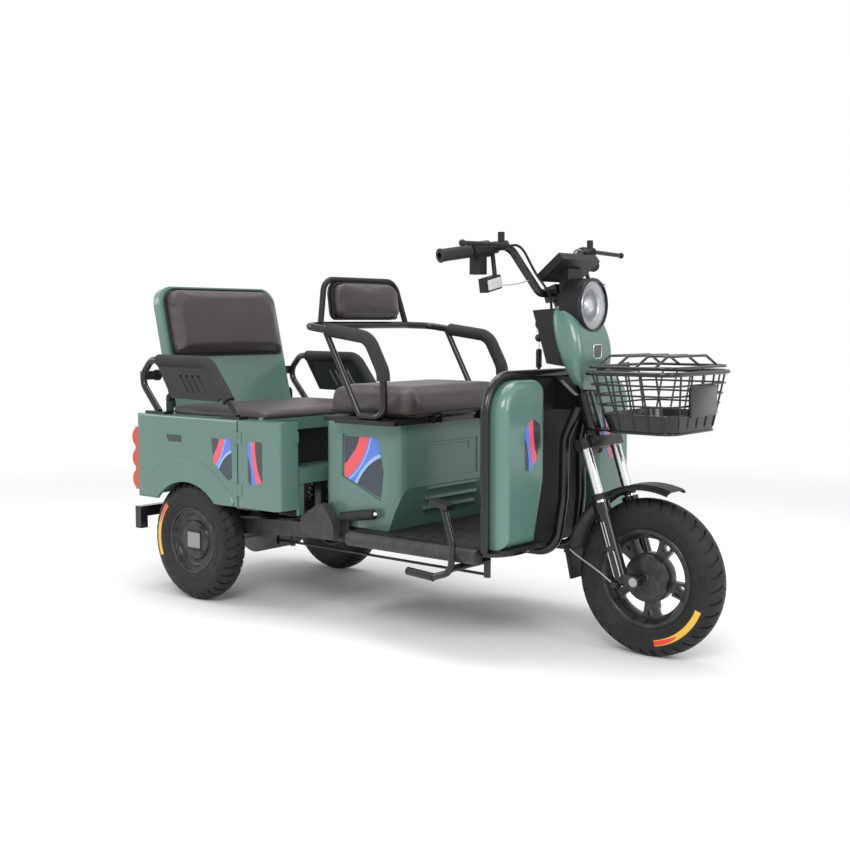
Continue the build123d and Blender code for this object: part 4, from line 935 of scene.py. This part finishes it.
def makeStandingPad(name, look, place):
    # made lying on its back, filled, then stood up and leaned
    inset, half = look["inset"], look["width"] / 2
    low = Vector((-look["high"] + inset, -half + inset, look["back"])) * mm
    high = Vector((-look["low"] - inset, half - inset, look["front"] - inset)) * mm
    pad = addBox(name, low, high)
    for end, corner in zip((low.x, high.x), look["corners"]):
        startEdit(pad, "EDGE")
        pick(pad, lambda edge: runsAlong(edge, 2) and abs(edge.verts[0].co.x - end) < touch, "edges")
        bpy.ops.mesh.bevel(offset=corner * mm, segments=8, affect="EDGES")
        endEdit()
    bevelTop(pad, high.z, look["edge"] * mm, 5)
    inflatePad(pad, look, (look["back"] + look["rests"]) * mm)
    pad.data.transform(place @ turnAbout("Y", 90))
    return pad


def makePiping(name, look, place):
    # a round cord sewn around the edge of a standing pad
    half = look["width"] / 2 - backPiping["inset"]
    low, high = look["low"] + backPiping["inset"], look["high"] - backPiping["inset"]
    forward = look["back"] + backPiping["forward"]
    upper, lower = look["corners"]
    corners = ((-half, low), (-half, high), (half, high), (half, low))
    points = [Vector((forward, y, z)) * mm for y, z in corners]
    rise = Vector((0, 0, lower * mm))
    top = roundedPath([points[0] + rise, points[1], points[2], points[3] + rise], upper * mm, steps=8)
    foot = roundedPath([top[-1], points[3], points[0], top[0]], lower * mm, steps=6)
    piping = tubeAlong(name, top + foot[1:-1], backPiping["radius"] * mm, closed=True)
    piping.data.transform(place)
    return piping


for name, look in standingPads.items():
    lean = Matrix.Translation(at(*look["pivot"])) @ turnAbout("Y", -look["lean"])
    finishPad(makeStandingPad(name, look, lean), look["body"], look["node"])
    dress(makePiping(name + "Piping", look, lean), look["body"], "satinPlastic")

# wire basket and its lid: it narrows from the rim to the floor by the values named In

basketLook = dict(rear=1316, front=1570, half=174, top=745, bottom=595, rearIn=40, frontIn=20, sideIn=50,
                  corner=46, cornerIn=6, endShare=0.75, bend=0.020, rim=6.0, wire=2.6, floorWire=3.6,
                  hoops=(716, 690, 664, 640), bars=(1362, 1404, 1446, 1488, 1530),
                  endBars=(-120, -60, 0, 60, 120))
trayLook = dict(low=597, high=640, corner=0.040, wall=0.003)
lidLook = dict(z=760, top=787, inset=6, corner=0.042, frames=(1386, 1496), half=27, shoulder=104, bend=0.024,
               wire=0.0036, rungs=(-80, -40, 0, 40, 80), rungWire=0.0024, hinges=(-60, 60), pinX=1309,
               pinZ=761, pinHalf=13, pinRadius=0.0025, earAway=11.5, earHalf=1.5, earEdge=0.0012)
knuckleProfile = [(2.7, -7), (5, -7), (5, 7), (2.7, 7)]
trayParts = {  # corners, then the width and segments of the edge
    "arm": ((1252, -40, 586), (1406, 40, 592), 0.0015),
    "foot": ((1252, -40, 520), (1258, 40, 592), 0.0015),
}
basketPlate = dict(low=(1566, -72, 636), high=(1573, 72, 714), corner=0.010, edge=0.001)


def basketShare(z):
    look = basketLook
    return (look["top"] - z) / (look["top"] - look["bottom"])


def basketLoop(name, z, radius):
    look = basketLook
    share = basketShare(z)
    rear, front = look["rear"] + look["rearIn"] * share, look["front"] - look["frontIn"] * share
    half = look["half"] - look["sideIn"] * share
    corners = [at(rear, -half, z), at(front, -half, z), at(front, half, z), at(rear, half, z)]
    return ringTube(name, corners, (look["corner"] - look["cornerIn"] * share) * mm, radius * mm, 6)


def makeBasket():
    look = basketLook
    top, bottom, half = look["top"], look["bottom"], look["half"]
    foot = half - look["sideIn"]
    wires = [basketLoop("rimTube", top, look["rim"]), basketLoop("floorLoop", bottom, look["floorWire"])]
    wires += [basketLoop("hoopWire", z, look["wire"]) for z in look["hoops"]]
    for x in look["bars"]:
        points = [at(x, -half, top), at(x, -foot, bottom), at(x, foot, bottom), at(x, half, top)]
        wires.append(tubeAlong("sideBar", roundedPath(points, look["bend"]), look["wire"] * mm))
    for y in look["endBars"]:
        low = y * look["endShare"]
        points = [at(look["rear"], y, top), at(look["rear"] + look["rearIn"], low, bottom),
                  at(look["front"] - look["frontIn"], low, bottom), at(look["front"], y, top)]
        wires.append(tubeAlong("endBar", roundedPath(points, look["bend"]), look["wire"] * mm))
    x, z, reach = lidLook["pinX"], lidLook["pinZ"], lidLook["pinHalf"]
    for y in lidLook["hinges"]:
        wires.append(addRod("lidPin", at(x, y - reach, z), at(x, y + reach, z), lidLook["pinRadius"], 16))
        for middle in (y - lidLook["earAway"], y + lidLook["earAway"]):
            near, far = middle - lidLook["earHalf"], middle + lidLook["earHalf"]
            wires.append(addBox("lidEar", at(x - 5, near, top), at(x + 7, far, z + 5)))
            roundEdges(wires[-1], lidLook["earEdge"], 2)
    return joinPieces("wireBasket", wires)


def makeBasketTray():
    # the solid lower band, the bracket to the fork and the blank front plate
    look = basketLook
    low, high = trayLook["low"], trayLook["high"]
    clearSelection()
    bpy.ops.mesh.primitive_cube_add(size=1)
    tray = newPiece("tray")
    for vertex in tray.data.vertices:
        share = 1 if vertex.co.z < 0 else basketShare(high)
        rear, front = look["rear"] + look["rearIn"] * share, look["front"] - look["frontIn"] * share
        y = (look["half"] - look["sideIn"] * share) * (1 if vertex.co.y > 0 else -1)
        vertex.co = at(rear if vertex.co.x < 0 else front, y, low if vertex.co.z < 0 else high)
    bevelCorners(tray, 2, trayLook["corner"], 6, 0.8)
    startEdit(tray)
    pick(tray, lambda face: face.normal.z > 0.9)
    bpy.ops.mesh.delete(type="FACE")
    endEdit()
    addWall(tray, trayLook["wall"], -1.0)
    plate = addBox("plate", at(*basketPlate["low"]), at(*basketPlate["high"]))
    bevelCorners(plate, 0, basketPlate["corner"], 5)
    roundEdges(plate, basketPlate["edge"], 2)
    pieces = [tray, plate]
    for name, (near, far, edge) in trayParts.items():
        pieces.append(addBox(name, at(*near), at(*far)))
        roundEdges(pieces[-1], edge, 2)
    return joinPieces("basketTray", pieces)


def makeBasketLid():
    look = lidLook
    inset, z, raised, wide = look["inset"], look["z"], look["top"], look["shoulder"]
    rear, front = basketLook["rear"] + inset, basketLook["front"] - inset
    half = basketLook["half"] - inset
    corners = [at(rear, -half, z), at(front, -half, z), at(front, half, z), at(rear, half, z)]
    wires = [ringTube("lidLoop", corners, look["corner"], look["wire"], 6)]
    for x in look["frames"]:
        near, far = x - look["half"], x + look["half"]
        for edge in (near, far):
            hat = [at(edge, -half, z), at(edge, -wide, raised), at(edge, wide, raised), at(edge, half, z)]
            wires.append(tubeAlong("hat", roundedPath(hat, look["bend"]), look["wire"]))
        for y in look["rungs"]:
            wires.append(addRod("rung", at(near, y, raised), at(far, y, raised), look["rungWire"], 12))
    for y in look["hinges"]:
        wires.append(turnedShape("knuckle", knuckleProfile, at(look["pinX"], y, look["pinZ"]), 24))
        wires.append(addBox("knuckleArm", at(look["pinX"] + 3, y - 7, z - 2.5), at(rear + 3, y + 7, z + 2.5)))
    return joinPieces("wireLid", wires)


dress(makeBasket(), "steering", "blackEnamel", ["basket"])
dress(makeBasketTray(), "steering", "blackEnamel")
dress(makeBasketLid(), "basket_cover", "blackEnamel", ["basket_lid"])
print("basket made")

# headlight: bezel, reflector, fins and projector behind a clear lens

headLook = dict(centre=(1246, 0, 918), fins=30, finInner=25, finOuter=41, finWidth=1.6, finBack=-26,
                finFront=-15)
headParts = {  # finish, slot, replaced nodes, steps around, then (radius, depth) points
    "headBezel": ("blackEnamel", "plastic_black", (), 72,
                  [(64.5, -4), (64.5, 1), (66, 2.6), (69, 2.6), (72.6, 0.5), (73, -3), (72.2, -5), (68, -5)]),
    "headReflector": ("reflector", "plastic_black", (), 72,
                      [(65, -5), (63, -6), (54, -9), (46, -12), (43.5, -13.5), (43, -15), (43, -27), (20, -27),
                       (20, -29), (46, -29), (64, -20), (65.2, -8)]),
    "headRing": ("chromePlate", "plastic_black", (), 72,
                 [(42.2, -14.5), (43.8, -12.5), (44.6, -10.5), (43.4, -9.8), (41.4, -12), (40.6, -15)]),
    "headProjector": ("chromePlate", "plastic_black", (), 48,
                      [(0, -8.5), (8, -9.2), (15, -11.5), (19.5, -15), (21.5, -19), (21.5, -27), (0, -27)]),
    "headCollar": ("reflector", "plastic_black", (), 48,
                   [(21.8, -27), (21.8, -17), (22.6, -15.4), (24.4, -15), (25.6, -16.2), (25.8, -27)]),
    "headLens": ("clearGlass", "lens_clear", ["headlight_lens"], 72,
                 [(0, -1.2), (30, -1.6), (50, -2.4), (64.2, -4), (64.2, -5.2), (50, -3.8), (30, -3.0),
                  (0, -2.6)]),
}


def makeFins():
    look = headLook
    half = look["finWidth"] / 2
    first = addBox("headFins", Vector((look["finBack"], -half, look["finInner"])) * mm,
                   Vector((look["finFront"], half, look["finOuter"])) * mm)
    fins = [first]
    for number in range(1, look["fins"]):
        fins.append(copyPiece(first, "fin", Matrix.Rotation(math.tau * number / look["fins"], 4, "X")))
    joined = joinPieces("headFins", fins)
    joined.data.transform(Matrix.Translation(at(*look["centre"])))
    return joined


for name, (look, slot, replaced, steps, profile) in headParts.items():
    part = turnedShape(name, profile, steps=steps)
    part.data.transform(Matrix.Translation(at(*headLook["centre"])) @ turnAbout("Z", -90))
    dress(part, "steering", look, replaced)
dress(makeFins(), "steering", "satinPlastic")
print("headlight made")

# grips and switch drum along the bar, dashboard screen, turn lamps

barRun = dict(inner=(1085, 165, 1075), outer=(1016, 368, 1042))  # the bar's straight outer run on the left
gripLook = dict(inner=280, outer=371, ribs=9, first=0.10, pitch=0.085, steps=40)
drumLook = dict(inner=236, outer=268, steps=40,
                outline=[(0, 11.5), (0, 24), (0.06, 27.5), (0.18, 29), (0.82, 29), (0.94, 27.5), (1, 24),
                         (1, 11.5)])
screenLook = dict(centre=(1158.5, 0, 1026.2), size=(72, 158, 1.4), corner=10, tilt=39)
signalLook = dict(centre=(1104.5, -257, 972), size=(7, 58, 27), ribs=7, ribRadius=0.0022, ribHalf=0.0105,
                  lean=12, edge=0.003)


def addCollar(name, start, end, outline, steps=32):
    # a turned sleeve between two points; the outline is (share of the length, radius)
    line = end - start
    profile = [(radius, share * line.length / mm) for share, radius in outline]
    sleeve = turnedShape(name, profile, steps=steps)
    turn = Vector((0, 1, 0)).rotation_difference(line).to_matrix().to_4x4()
    sleeve.data.transform(Matrix.Translation(start) @ turn)
    return sleeve


def ribbedOutline(start, ribs, first, pitch, steps, end):
    # a sleeve's outline with the same few points repeated for each rib
    outline = list(start)
    for number in range(ribs):
        outline += [(first + number * pitch + share, radius) for share, radius in steps]
    return outline + list(end)


def barPoint(y):
    # the middle of the bar on the right, at a distance from the middle
    (x0, y0, z0), (x1, y1, z1) = barRun["inner"], barRun["outer"]
    share = (y - y0) / (y1 - y0)
    return at(x0 + share * (x1 - x0), -y, z0 + share * (z1 - z0))


def makeGrip():
    look = gripLook
    outline = ribbedOutline([(0, 11.2), (0, 15.6), (0.03, 16.6)], look["ribs"], look["first"], look["pitch"],
                            [(0, 16.6), (0.012, 15.5), (0.034, 15.5), (0.046, 16.6)],
                            [(0.93, 16.6), (0.95, 18.6), (0.985, 18.6), (1.0, 17.0), (1.0, 0)])
    return addCollar("rightGrip", barPoint(look["inner"]), barPoint(look["outer"]), outline, look["steps"])


def makeScreen():
    # a thin rounded plate leaned back over the bar
    look = screenLook
    width, length, thick = look["size"]
    plate = addBox("dashScreen", Vector((-width / 2, -length / 2, 0)) * mm,
                   Vector((width / 2, length / 2, thick)) * mm)
    bevelCorners(plate, 2, look["corner"] * mm, 6)
    plate.data.transform(Matrix.Translation(at(*look["centre"])) @ turnAbout("Y", -look["tilt"]))
    return plate


def makeSignalLens():
    look = signalLook
    x, y, z = look["size"]
    lens = addBox("rightSignalLens", Vector((-1, -y / 2, -z / 2)) * mm, Vector((x - 1, y / 2, z / 2)) * mm)
    roundEdges(lens, look["edge"], 3)
    pieces = [lens]
    front, half = (x - 1) * mm, look["ribHalf"]
    for number in range(look["ribs"]):
        across = (-y / 2 + y * (number + 0.5) / look["ribs"]) * mm
        foot, top = Vector((front, across, -half)), Vector((front, across, half))
        pieces.append(addRod("rib", foot, top, look["ribRadius"], 10))
    piece = joinPieces("rightSignalLens", pieces)
    piece.data.transform(Matrix.Translation(at(*look["centre"])) @ turnAbout("X", look["lean"]))
    return piece


grip = makeGrip()
dress(grip, "steering", "gripRubber", ["grips"])
dress(mirrorPiece(grip, "leftGrip"), "steering", "gripRubber", ["grips"])
dress(makeScreen(), "steering", "screenGlass")
signalLens = makeSignalLens()
dress(signalLens, "steering", "lampFrost")
dress(mirrorPiece(signalLens, "leftSignalLens"), "steering", "lampFrost")
drumEnds = [barPoint(drumLook["inner"]), barPoint(drumLook["outer"])]
drum = mirrorMesh(addCollar("leftSwitchDrum", *drumEnds, drumLook["outline"], drumLook["steps"]))
dress(drum, "steering", "satinPlastic")
print("handlebar trim made")

# stickers and badges: printed films, with a UV map over the box of their corners

filmThick = 0.6
sideFilms = {  # outlines as (x, z) on the right; the left one is the same
    "SideSticker": dict(body="chassis", look="stickerWide", y=366.2,
                        outline=[(121, 521), (210, 521), (212, 405), (197, 396), (130, 447)]),
    "DoorSticker": dict(body="side_door_{}", look="stickerTall", y=366.2,
                        outline=[(284, 521), (344, 521), (344, 399), (292, 391), (284, 402)]),
    "SeatBoxSticker": dict(body="chassis", look="stickerWide", y=245.3,
                           outline=[(564, 545), (691, 547), (712, 450), (702, 376), (563, 429)]),
    "SideBadge": dict(body="chassis", look="badge", y=366.2,
                      outline=[(-94, 521), (-22, 521), (-20, 500), (-84, 500)]),
}
shieldFilm = dict(x=1182.2, outline=[(-222, 489), (-226, 560), (-221, 606), (-190, 622), (-158, 606),
                                     (-156, 556), (-176, 512), (-203, 484)])
coverBadge = dict(x=1258.2, outline=[(-17, 778), (17, 778), (20, 812), (-20, 812)], thick=1.6)
badgeRim = dict(x=1259, outline=[(-18, 777), (18, 777), (21, 813), (-21, 813)], bend=0.007, wire=0.0016)


def makeFilm(name, corners, facing, rounding, thick=filmThick):
    clearSelection()
    bpy.ops.mesh.primitive_circle_add(vertices=len(corners), radius=1, fill_type="NGON")
    film = newPiece(name)
    for vertex, corner in zip(film.data.vertices, corners):
        vertex.co = corner
    startEdit(film, "VERT")
    bpy.ops.mesh.select_all(action="SELECT")
    bpy.ops.mesh.bevel(offset=rounding, segments=4, affect="VERTICES")
    endEdit()
    flat = film.data.uv_layers.active
    axis = 0 if facing.y else 1
    low = Vector(min(corner[number] for corner in corners) for number in range(3))
    high = Vector(max(corner[number] for corner in corners) for number in range(3))
    for loop in film.data.loops:
        place = film.data.vertices[loop.vertex_index].co
        flat.data[loop.index].uv = [(place[n] - low[n]) / (high[n] - low[n]) for n in (axis, 2)]
    if film.data.polygons[0].normal.dot(facing) < 0:
        film.data.flip_normals()
    addWall(film, thick * mm, 1.0)
    return film


for name, film in sideFilms.items():
    for side, direction in (("right", -1), ("left", 1)):
        corners = [at(x, direction * film["y"], z) for x, z in film["outline"]]
        piece = makeFilm(side + name, corners, Vector((0, direction, 0)), 0.004)
        dress(piece, film["body"].format(side), film["look"])
forward = Vector((1, 0, 0))
for side, direction in (("right", 1), ("left", -1)):
    corners = [at(shieldFilm["x"], direction * y, z) for y, z in shieldFilm["outline"]]
    dress(makeFilm(side + "ShieldSticker", corners, forward, 0.006), "chassis", "stickerTall")
badgeCorners = [at(coverBadge["x"], y, z) for y, z in coverBadge["outline"]]
badge = makeFilm("coverBadge", badgeCorners, forward, 0.006, coverBadge["thick"])
dress(badge, "steering", "badge")
rimCorners = [at(badgeRim["x"], y, z) for y, z in badgeRim["outline"]]
dress(ringTube("coverBadgeRim", rimCorners, badgeRim["bend"], badgeRim["wire"]), "steering", "chromePlate")
print("stickers made")

# ignition lock with its key and fob

lockLook = dict(face=(1112, 0, 869), back=(1093, 0, 865),
                outline=[(0, 0), (0, 12), (0.8, 12), (0.92, 11), (1, 8), (1, 0)])
keyLook = dict(place=(1092, 0, 865), low=(-24, -1.2, -9), high=(0, 1.2, 9), edge=0.001)
keyRing = dict(x=1071, z=852, radius=9, wire=0.001, steps=24)
fobLook = dict(low=(1064, -9, 746), high=(1078, 9, 800), edge=0.006, beadZ=830, beadRadius=0.0115,
               linkZ=(820, 798), linkRadius=0.0018, strapZ=(748, 700), strapRadius=0.0045, strapTip=0.007)


def makeKey():
    look = keyLook
    key = addBox("key", Vector(look["low"]) * mm, Vector(look["high"]) * mm)
    roundEdges(key, look["edge"], 2)
    key.data.transform(Matrix.Translation(at(*look["place"])))
    ring = []
    for number in range(keyRing["steps"]):
        turn = number * math.tau / keyRing["steps"]
        across, up = keyRing["radius"] * math.cos(turn), keyRing["radius"] * math.sin(turn)
        ring.append(at(keyRing["x"] + across, 0, keyRing["z"] + up))
    ring = tubeAlong("keyRing", ring, keyRing["wire"], closed=True)
    top, low = fobLook["linkZ"]
    link = addRod("link", at(keyRing["x"], 0, top), at(keyRing["x"], 0, low), fobLook["linkRadius"], 10)
    return joinPieces("ignitionKey", [key, ring, link])


def makeFob():
    look = fobLook
    x = keyRing["x"]
    bead = addBall("bead", at(x, 0, look["beadZ"]), look["beadRadius"])
    fob = addBox("fob", at(*look["low"]), at(*look["high"]))
    roundEdges(fob, look["edge"], 4)
    top, low = look["strapZ"]
    strap = addRod("strap", at(x, 0, top), at(x, 0, low), look["strapRadius"], 12, look["strapTip"])
    return joinPieces("keyFob", [bead, fob, strap])


lock = addCollar("ignitionLock", at(*lockLook["face"]), at(*lockLook["back"]), lockLook["outline"])
dress(lock, "steering", "chromePlate")
dress(makeKey(), "steering", "chromePlate")
dress(makeFob(), "steering", "blackEnamel")

# painted outlines on the fork sliders

rake = math.radians(18.5)
crown = jointPlace["steering_turn"]
sliderLook = dict(forward=8, bars=(-4, 4), barZ=(352, 290), barY=93.4, barRadius=0.0011, boxY=91.6,
                  box=((278, -9), (278, 9), (212, 9), (212, -9)), boxBend=0.006, boxWire=0.0013)


def forkPoint(z, forward, y):
    # a point beside the steering axis, in millimetres ahead of it and left of the middle
    x = (crown.x - math.tan(rake) * (z * mm - crown.z) - rearAxleX) / mm
    return at(x + forward * math.cos(rake), y, z + forward * math.sin(rake))


for name, side in (("right", -1), ("left", 1)):
    look = sliderLook
    ahead = look["forward"]
    lines = []
    for across in look["bars"]:
        top, foot = [forkPoint(z, ahead + across, side * look["barY"]) for z in look["barZ"]]
        lines.append(addRod("line", top, foot, look["barRadius"], 8))
    boxCorners = [forkPoint(z, ahead + across, side * look["boxY"]) for z, across in look["box"]]
    lines.append(ringTube("outline", boxCorners, look["boxBend"], look["boxWire"]))
    dress(joinPieces(name + "SliderLines", lines), "steering", "whiteLine")
print("front trim made")

# shock absorbers: a coil spring around a damper

springLook = dict(y=205, low=252, high=374, coil=19, wire=4.6, turns=6.5, steps=20)
shockRods = {  # from height, to height, radius
    "damper": (238, 320, 0.0125), "stem": (316, 396, 0.006), "foot": (226, 244, 0.015),
    "lowSeat": (244, 250, 0.0235), "highSeat": (376, 382, 0.0235),
}


def makeShock(name, middle):
    look = springLook
    steps = int(look["turns"] * look["steps"])
    coil = []
    for step in range(steps + 1):
        turn = math.tau * step / look["steps"]
        height = look["low"] + (look["high"] - look["low"]) * step / steps
        coil.append(at(look["coil"] * math.cos(turn), middle + look["coil"] * math.sin(turn), height))
    pieces = [tubeAlong("spring", coil, look["wire"] * mm, sides=2)]
    for part, (low, high, radius) in shockRods.items():
        pieces.append(addRod(part, at(0, middle, low), at(0, middle, high), radius))
    return joinPieces(name, pieces)


for side, direction in (("right", -1), ("left", 1)):
    shock = makeShock(side + "SpringShock", direction * springLook["y"])
    dress(shock, "chassis", "blackEnamel", ["rear_shocks"])

# ribs of the floor mat

ribLook = dict(low=(792, -297, 284.6), high=(1104, -290, 287.4), count=43, pitch=14)
ribs = [addBox("floorRib", at(*ribLook["low"]), at(*ribLook["high"]))]
for number in range(1, ribLook["count"]):
    along = Vector((0, number * ribLook["pitch"] * mm, 0))
    ribs.append(copyPiece(ribs[0], "rib", Matrix.Translation(along)))
dress(joinPieces("floorMatRibs", ribs), "chassis", "floorRubber")

# piping around the front seat

seatPiping = dict(inset=4, up=0.012, corner=0.036, radius=0.0028)


def makeSeatPiping():
    look = seatPiping
    seat = flatPads["frontSeat"]
    low, high = padBox(dict(seat, inset=look["inset"]))
    z = seat["low"][2] * mm + look["up"]
    corners = ((low.x, low.y), (high.x, low.y), (high.x, high.y), (low.x, high.y))
    return ringTube("frontSeatPiping", [Vector((x, y, z)) for x, y in corners], look["corner"],
                    look["radius"], 6)


dress(makeSeatPiping(), "seat_lid", "satinPlastic")

# hand brake grip with its button

brakeLook = dict(foot=(606, -270, 318.6), top=(700, -270, 332), tip=(713, -270, 333.8), ribs=9, first=0.08,
                 pitch=0.09, button=[(0, 0), (0, 8.4), (0.8, 8.4), (1, 6.5), (1, 0)])
brakeOutline = ribbedOutline([(0, 12), (0, 13.4)], brakeLook["ribs"], brakeLook["first"], brakeLook["pitch"],
                             [(0, 13.6), (0.015, 14.8), (0.045, 14.8), (0.06, 13.6)],
                             [(0.97, 14.6), (1.0, 12.5), (1.0, 0)])
foot, top, tip = [at(*brakeLook[name]) for name in ("foot", "top", "tip")]
dress(addCollar("handBrakeGrip", foot, top, brakeOutline), "chassis", "gripRubber")
dress(addCollar("handBrakeButton", top, tip, brakeLook["button"]), "chassis", "chromePlate")

# bolts through the seat rail, heads forward

boltLook = dict(x=776, z=593.5, spots=(-150, -108, 108, 150), radius=0.0055, height=0.004, edge=0.0006)


def makeBolt(y):
    look = boltLook
    head = addRod("bolt", Vector((0, 0, 0)), Vector((0, 0, look["height"])), look["radius"], 6)
    roundEdges(head, look["edge"], 1)
    head.data.transform(Matrix.Translation(at(look["x"], y, look["z"])) @ turnAbout("Y", 90))
    return head


bolts = joinPieces("seatRailBolts", [makeBolt(y) for y in boltLook["spots"]])
dress(bolts, "chassis", "chromePlate")

# feet of the leg shields

shieldFoot = dict(low=(1128, -318, 279), high=(1188, -120, 290.5), corner=0.022, edge=0.003)
flange = addBox("rightShieldFoot", at(*shieldFoot["low"]), at(*shieldFoot["high"]))
bevelCorners(flange, 2, shieldFoot["corner"], 6)
roundEdges(flange, shieldFoot["edge"], 2)
dress(flange, "chassis", "satinPlastic")
dress(mirrorPiece(flange, "leftShieldFoot"), "chassis", "satinPlastic")
print("trim made")

# floor, backdrop and lights

stageLook = dict(floorSize=14.0, floorColour=(0.93, 0.93, 0.93), fadeFrom=2.2, fadeTo=4.5,
                 backColour=(1.0, 1.0, 1.0), worldLight=0.62)
lamps = {
    "keyLamp": dict(place=(2.6, -3.6, 3.4), target=(0, 0, 0.5), size=(2.4, 1.8), power=120),
    "frontLamp": dict(place=(4.4, -0.6, 2.2), target=(0.2, 0, 0.5), size=(1.6, 2.2), power=55),
    "topLamp": dict(place=(-0.4, 0.2, 3.6), target=(-0.2, 0, 0.4), size=(2.6, 2.0), power=70),
    "rearLamp": dict(place=(-3.6, -2.2, 2.0), target=(-0.5, 0, 0.5), size=(1.6, 1.8), power=30),
}


def makeStage():
    look = stageLook
    clearSelection()
    bpy.ops.mesh.primitive_plane_add(size=look["floorSize"])
    floor = newPiece("studioFloor")
    material, tree, shader = startMaterial("studioFloor", 0.9)
    shader.inputs["Base Color"].default_value = (*look["floorColour"], 1)
    shader.inputs["Specular IOR Level"].default_value = 0.1
    glow = addNode(tree, "Emission", values={"Color": (*look["backColour"], 1)})
    place = addNode(tree, "TexCoord")
    away = addNode(tree, "VectorMath", {"operation": "LENGTH"})
    fade = addNode(tree, "MapRange", {"interpolation_type": "SMOOTHSTEP"},
                   {"From Min": look["fadeFrom"], "From Max": look["fadeTo"]})
    mix = addNode(tree, "MixShader")
    wire(tree, [
        (place, "Object", away, 0), (away, "Value", fade, "Value"), (fade, "Result", mix, "Fac"),
        (shader, "BSDF", mix, 1), (glow, "Emission", mix, 2),
        (mix, "Shader", tree.nodes["Material Output"], "Surface"),
    ])
    floor.data.materials.append(material)
    floor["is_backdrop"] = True


def makeWorld():
    # white where the camera, a mirror or a lens looks, and a softer light on everything else
    world = bpy.data.worlds.new("studioWorld")
    bpy.context.scene.world = world
    world.use_nodes = True
    tree = world.node_tree
    soft = tree.nodes["Background"]
    soft.inputs["Color"].default_value = (1, 1, 1, 1)
    soft.inputs["Strength"].default_value = stageLook["worldLight"]
    seen = addNode(tree, "Background", values={"Color": (*stageLook["backColour"], 1), "Strength": 1.0})
    path = addNode(tree, "LightPath")
    cameraOrMirror = addNode(tree, "Math", {"operation": "MAXIMUM"})
    anySeen = addNode(tree, "Math", {"operation": "MAXIMUM"})
    mix = addNode(tree, "MixShader")
    wire(tree, [
        (path, "Is Camera Ray", cameraOrMirror, 0), (path, "Is Glossy Ray", cameraOrMirror, 1),
        (cameraOrMirror, "Value", anySeen, 0), (path, "Is Transmission Ray", anySeen, 1),
        (anySeen, "Value", mix, "Fac"), (soft, "Background", mix, 1), (seen, "Background", mix, 2),
        (mix, "Shader", tree.nodes["World Output"], "Surface"),
    ])


def makeLamp(name, look):
    light = bpy.data.lights.new(name, "AREA")
    light.shape = "RECTANGLE"
    light.size, light.size_y = look["size"]
    light.energy = look["power"]
    lamp = bpy.data.objects.new(name, light)
    bpy.context.scene.collection.objects.link(lamp)
    lamp.location = look["place"]
    lamp.rotation_euler = (Vector(look["target"]) - lamp.location).to_track_quat("-Z", "Y").to_euler()


makeStage()
makeWorld()
for name, look in lamps.items():
    makeLamp(name, look)
bpy.context.scene.view_settings.view_transform = "Standard"

low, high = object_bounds()
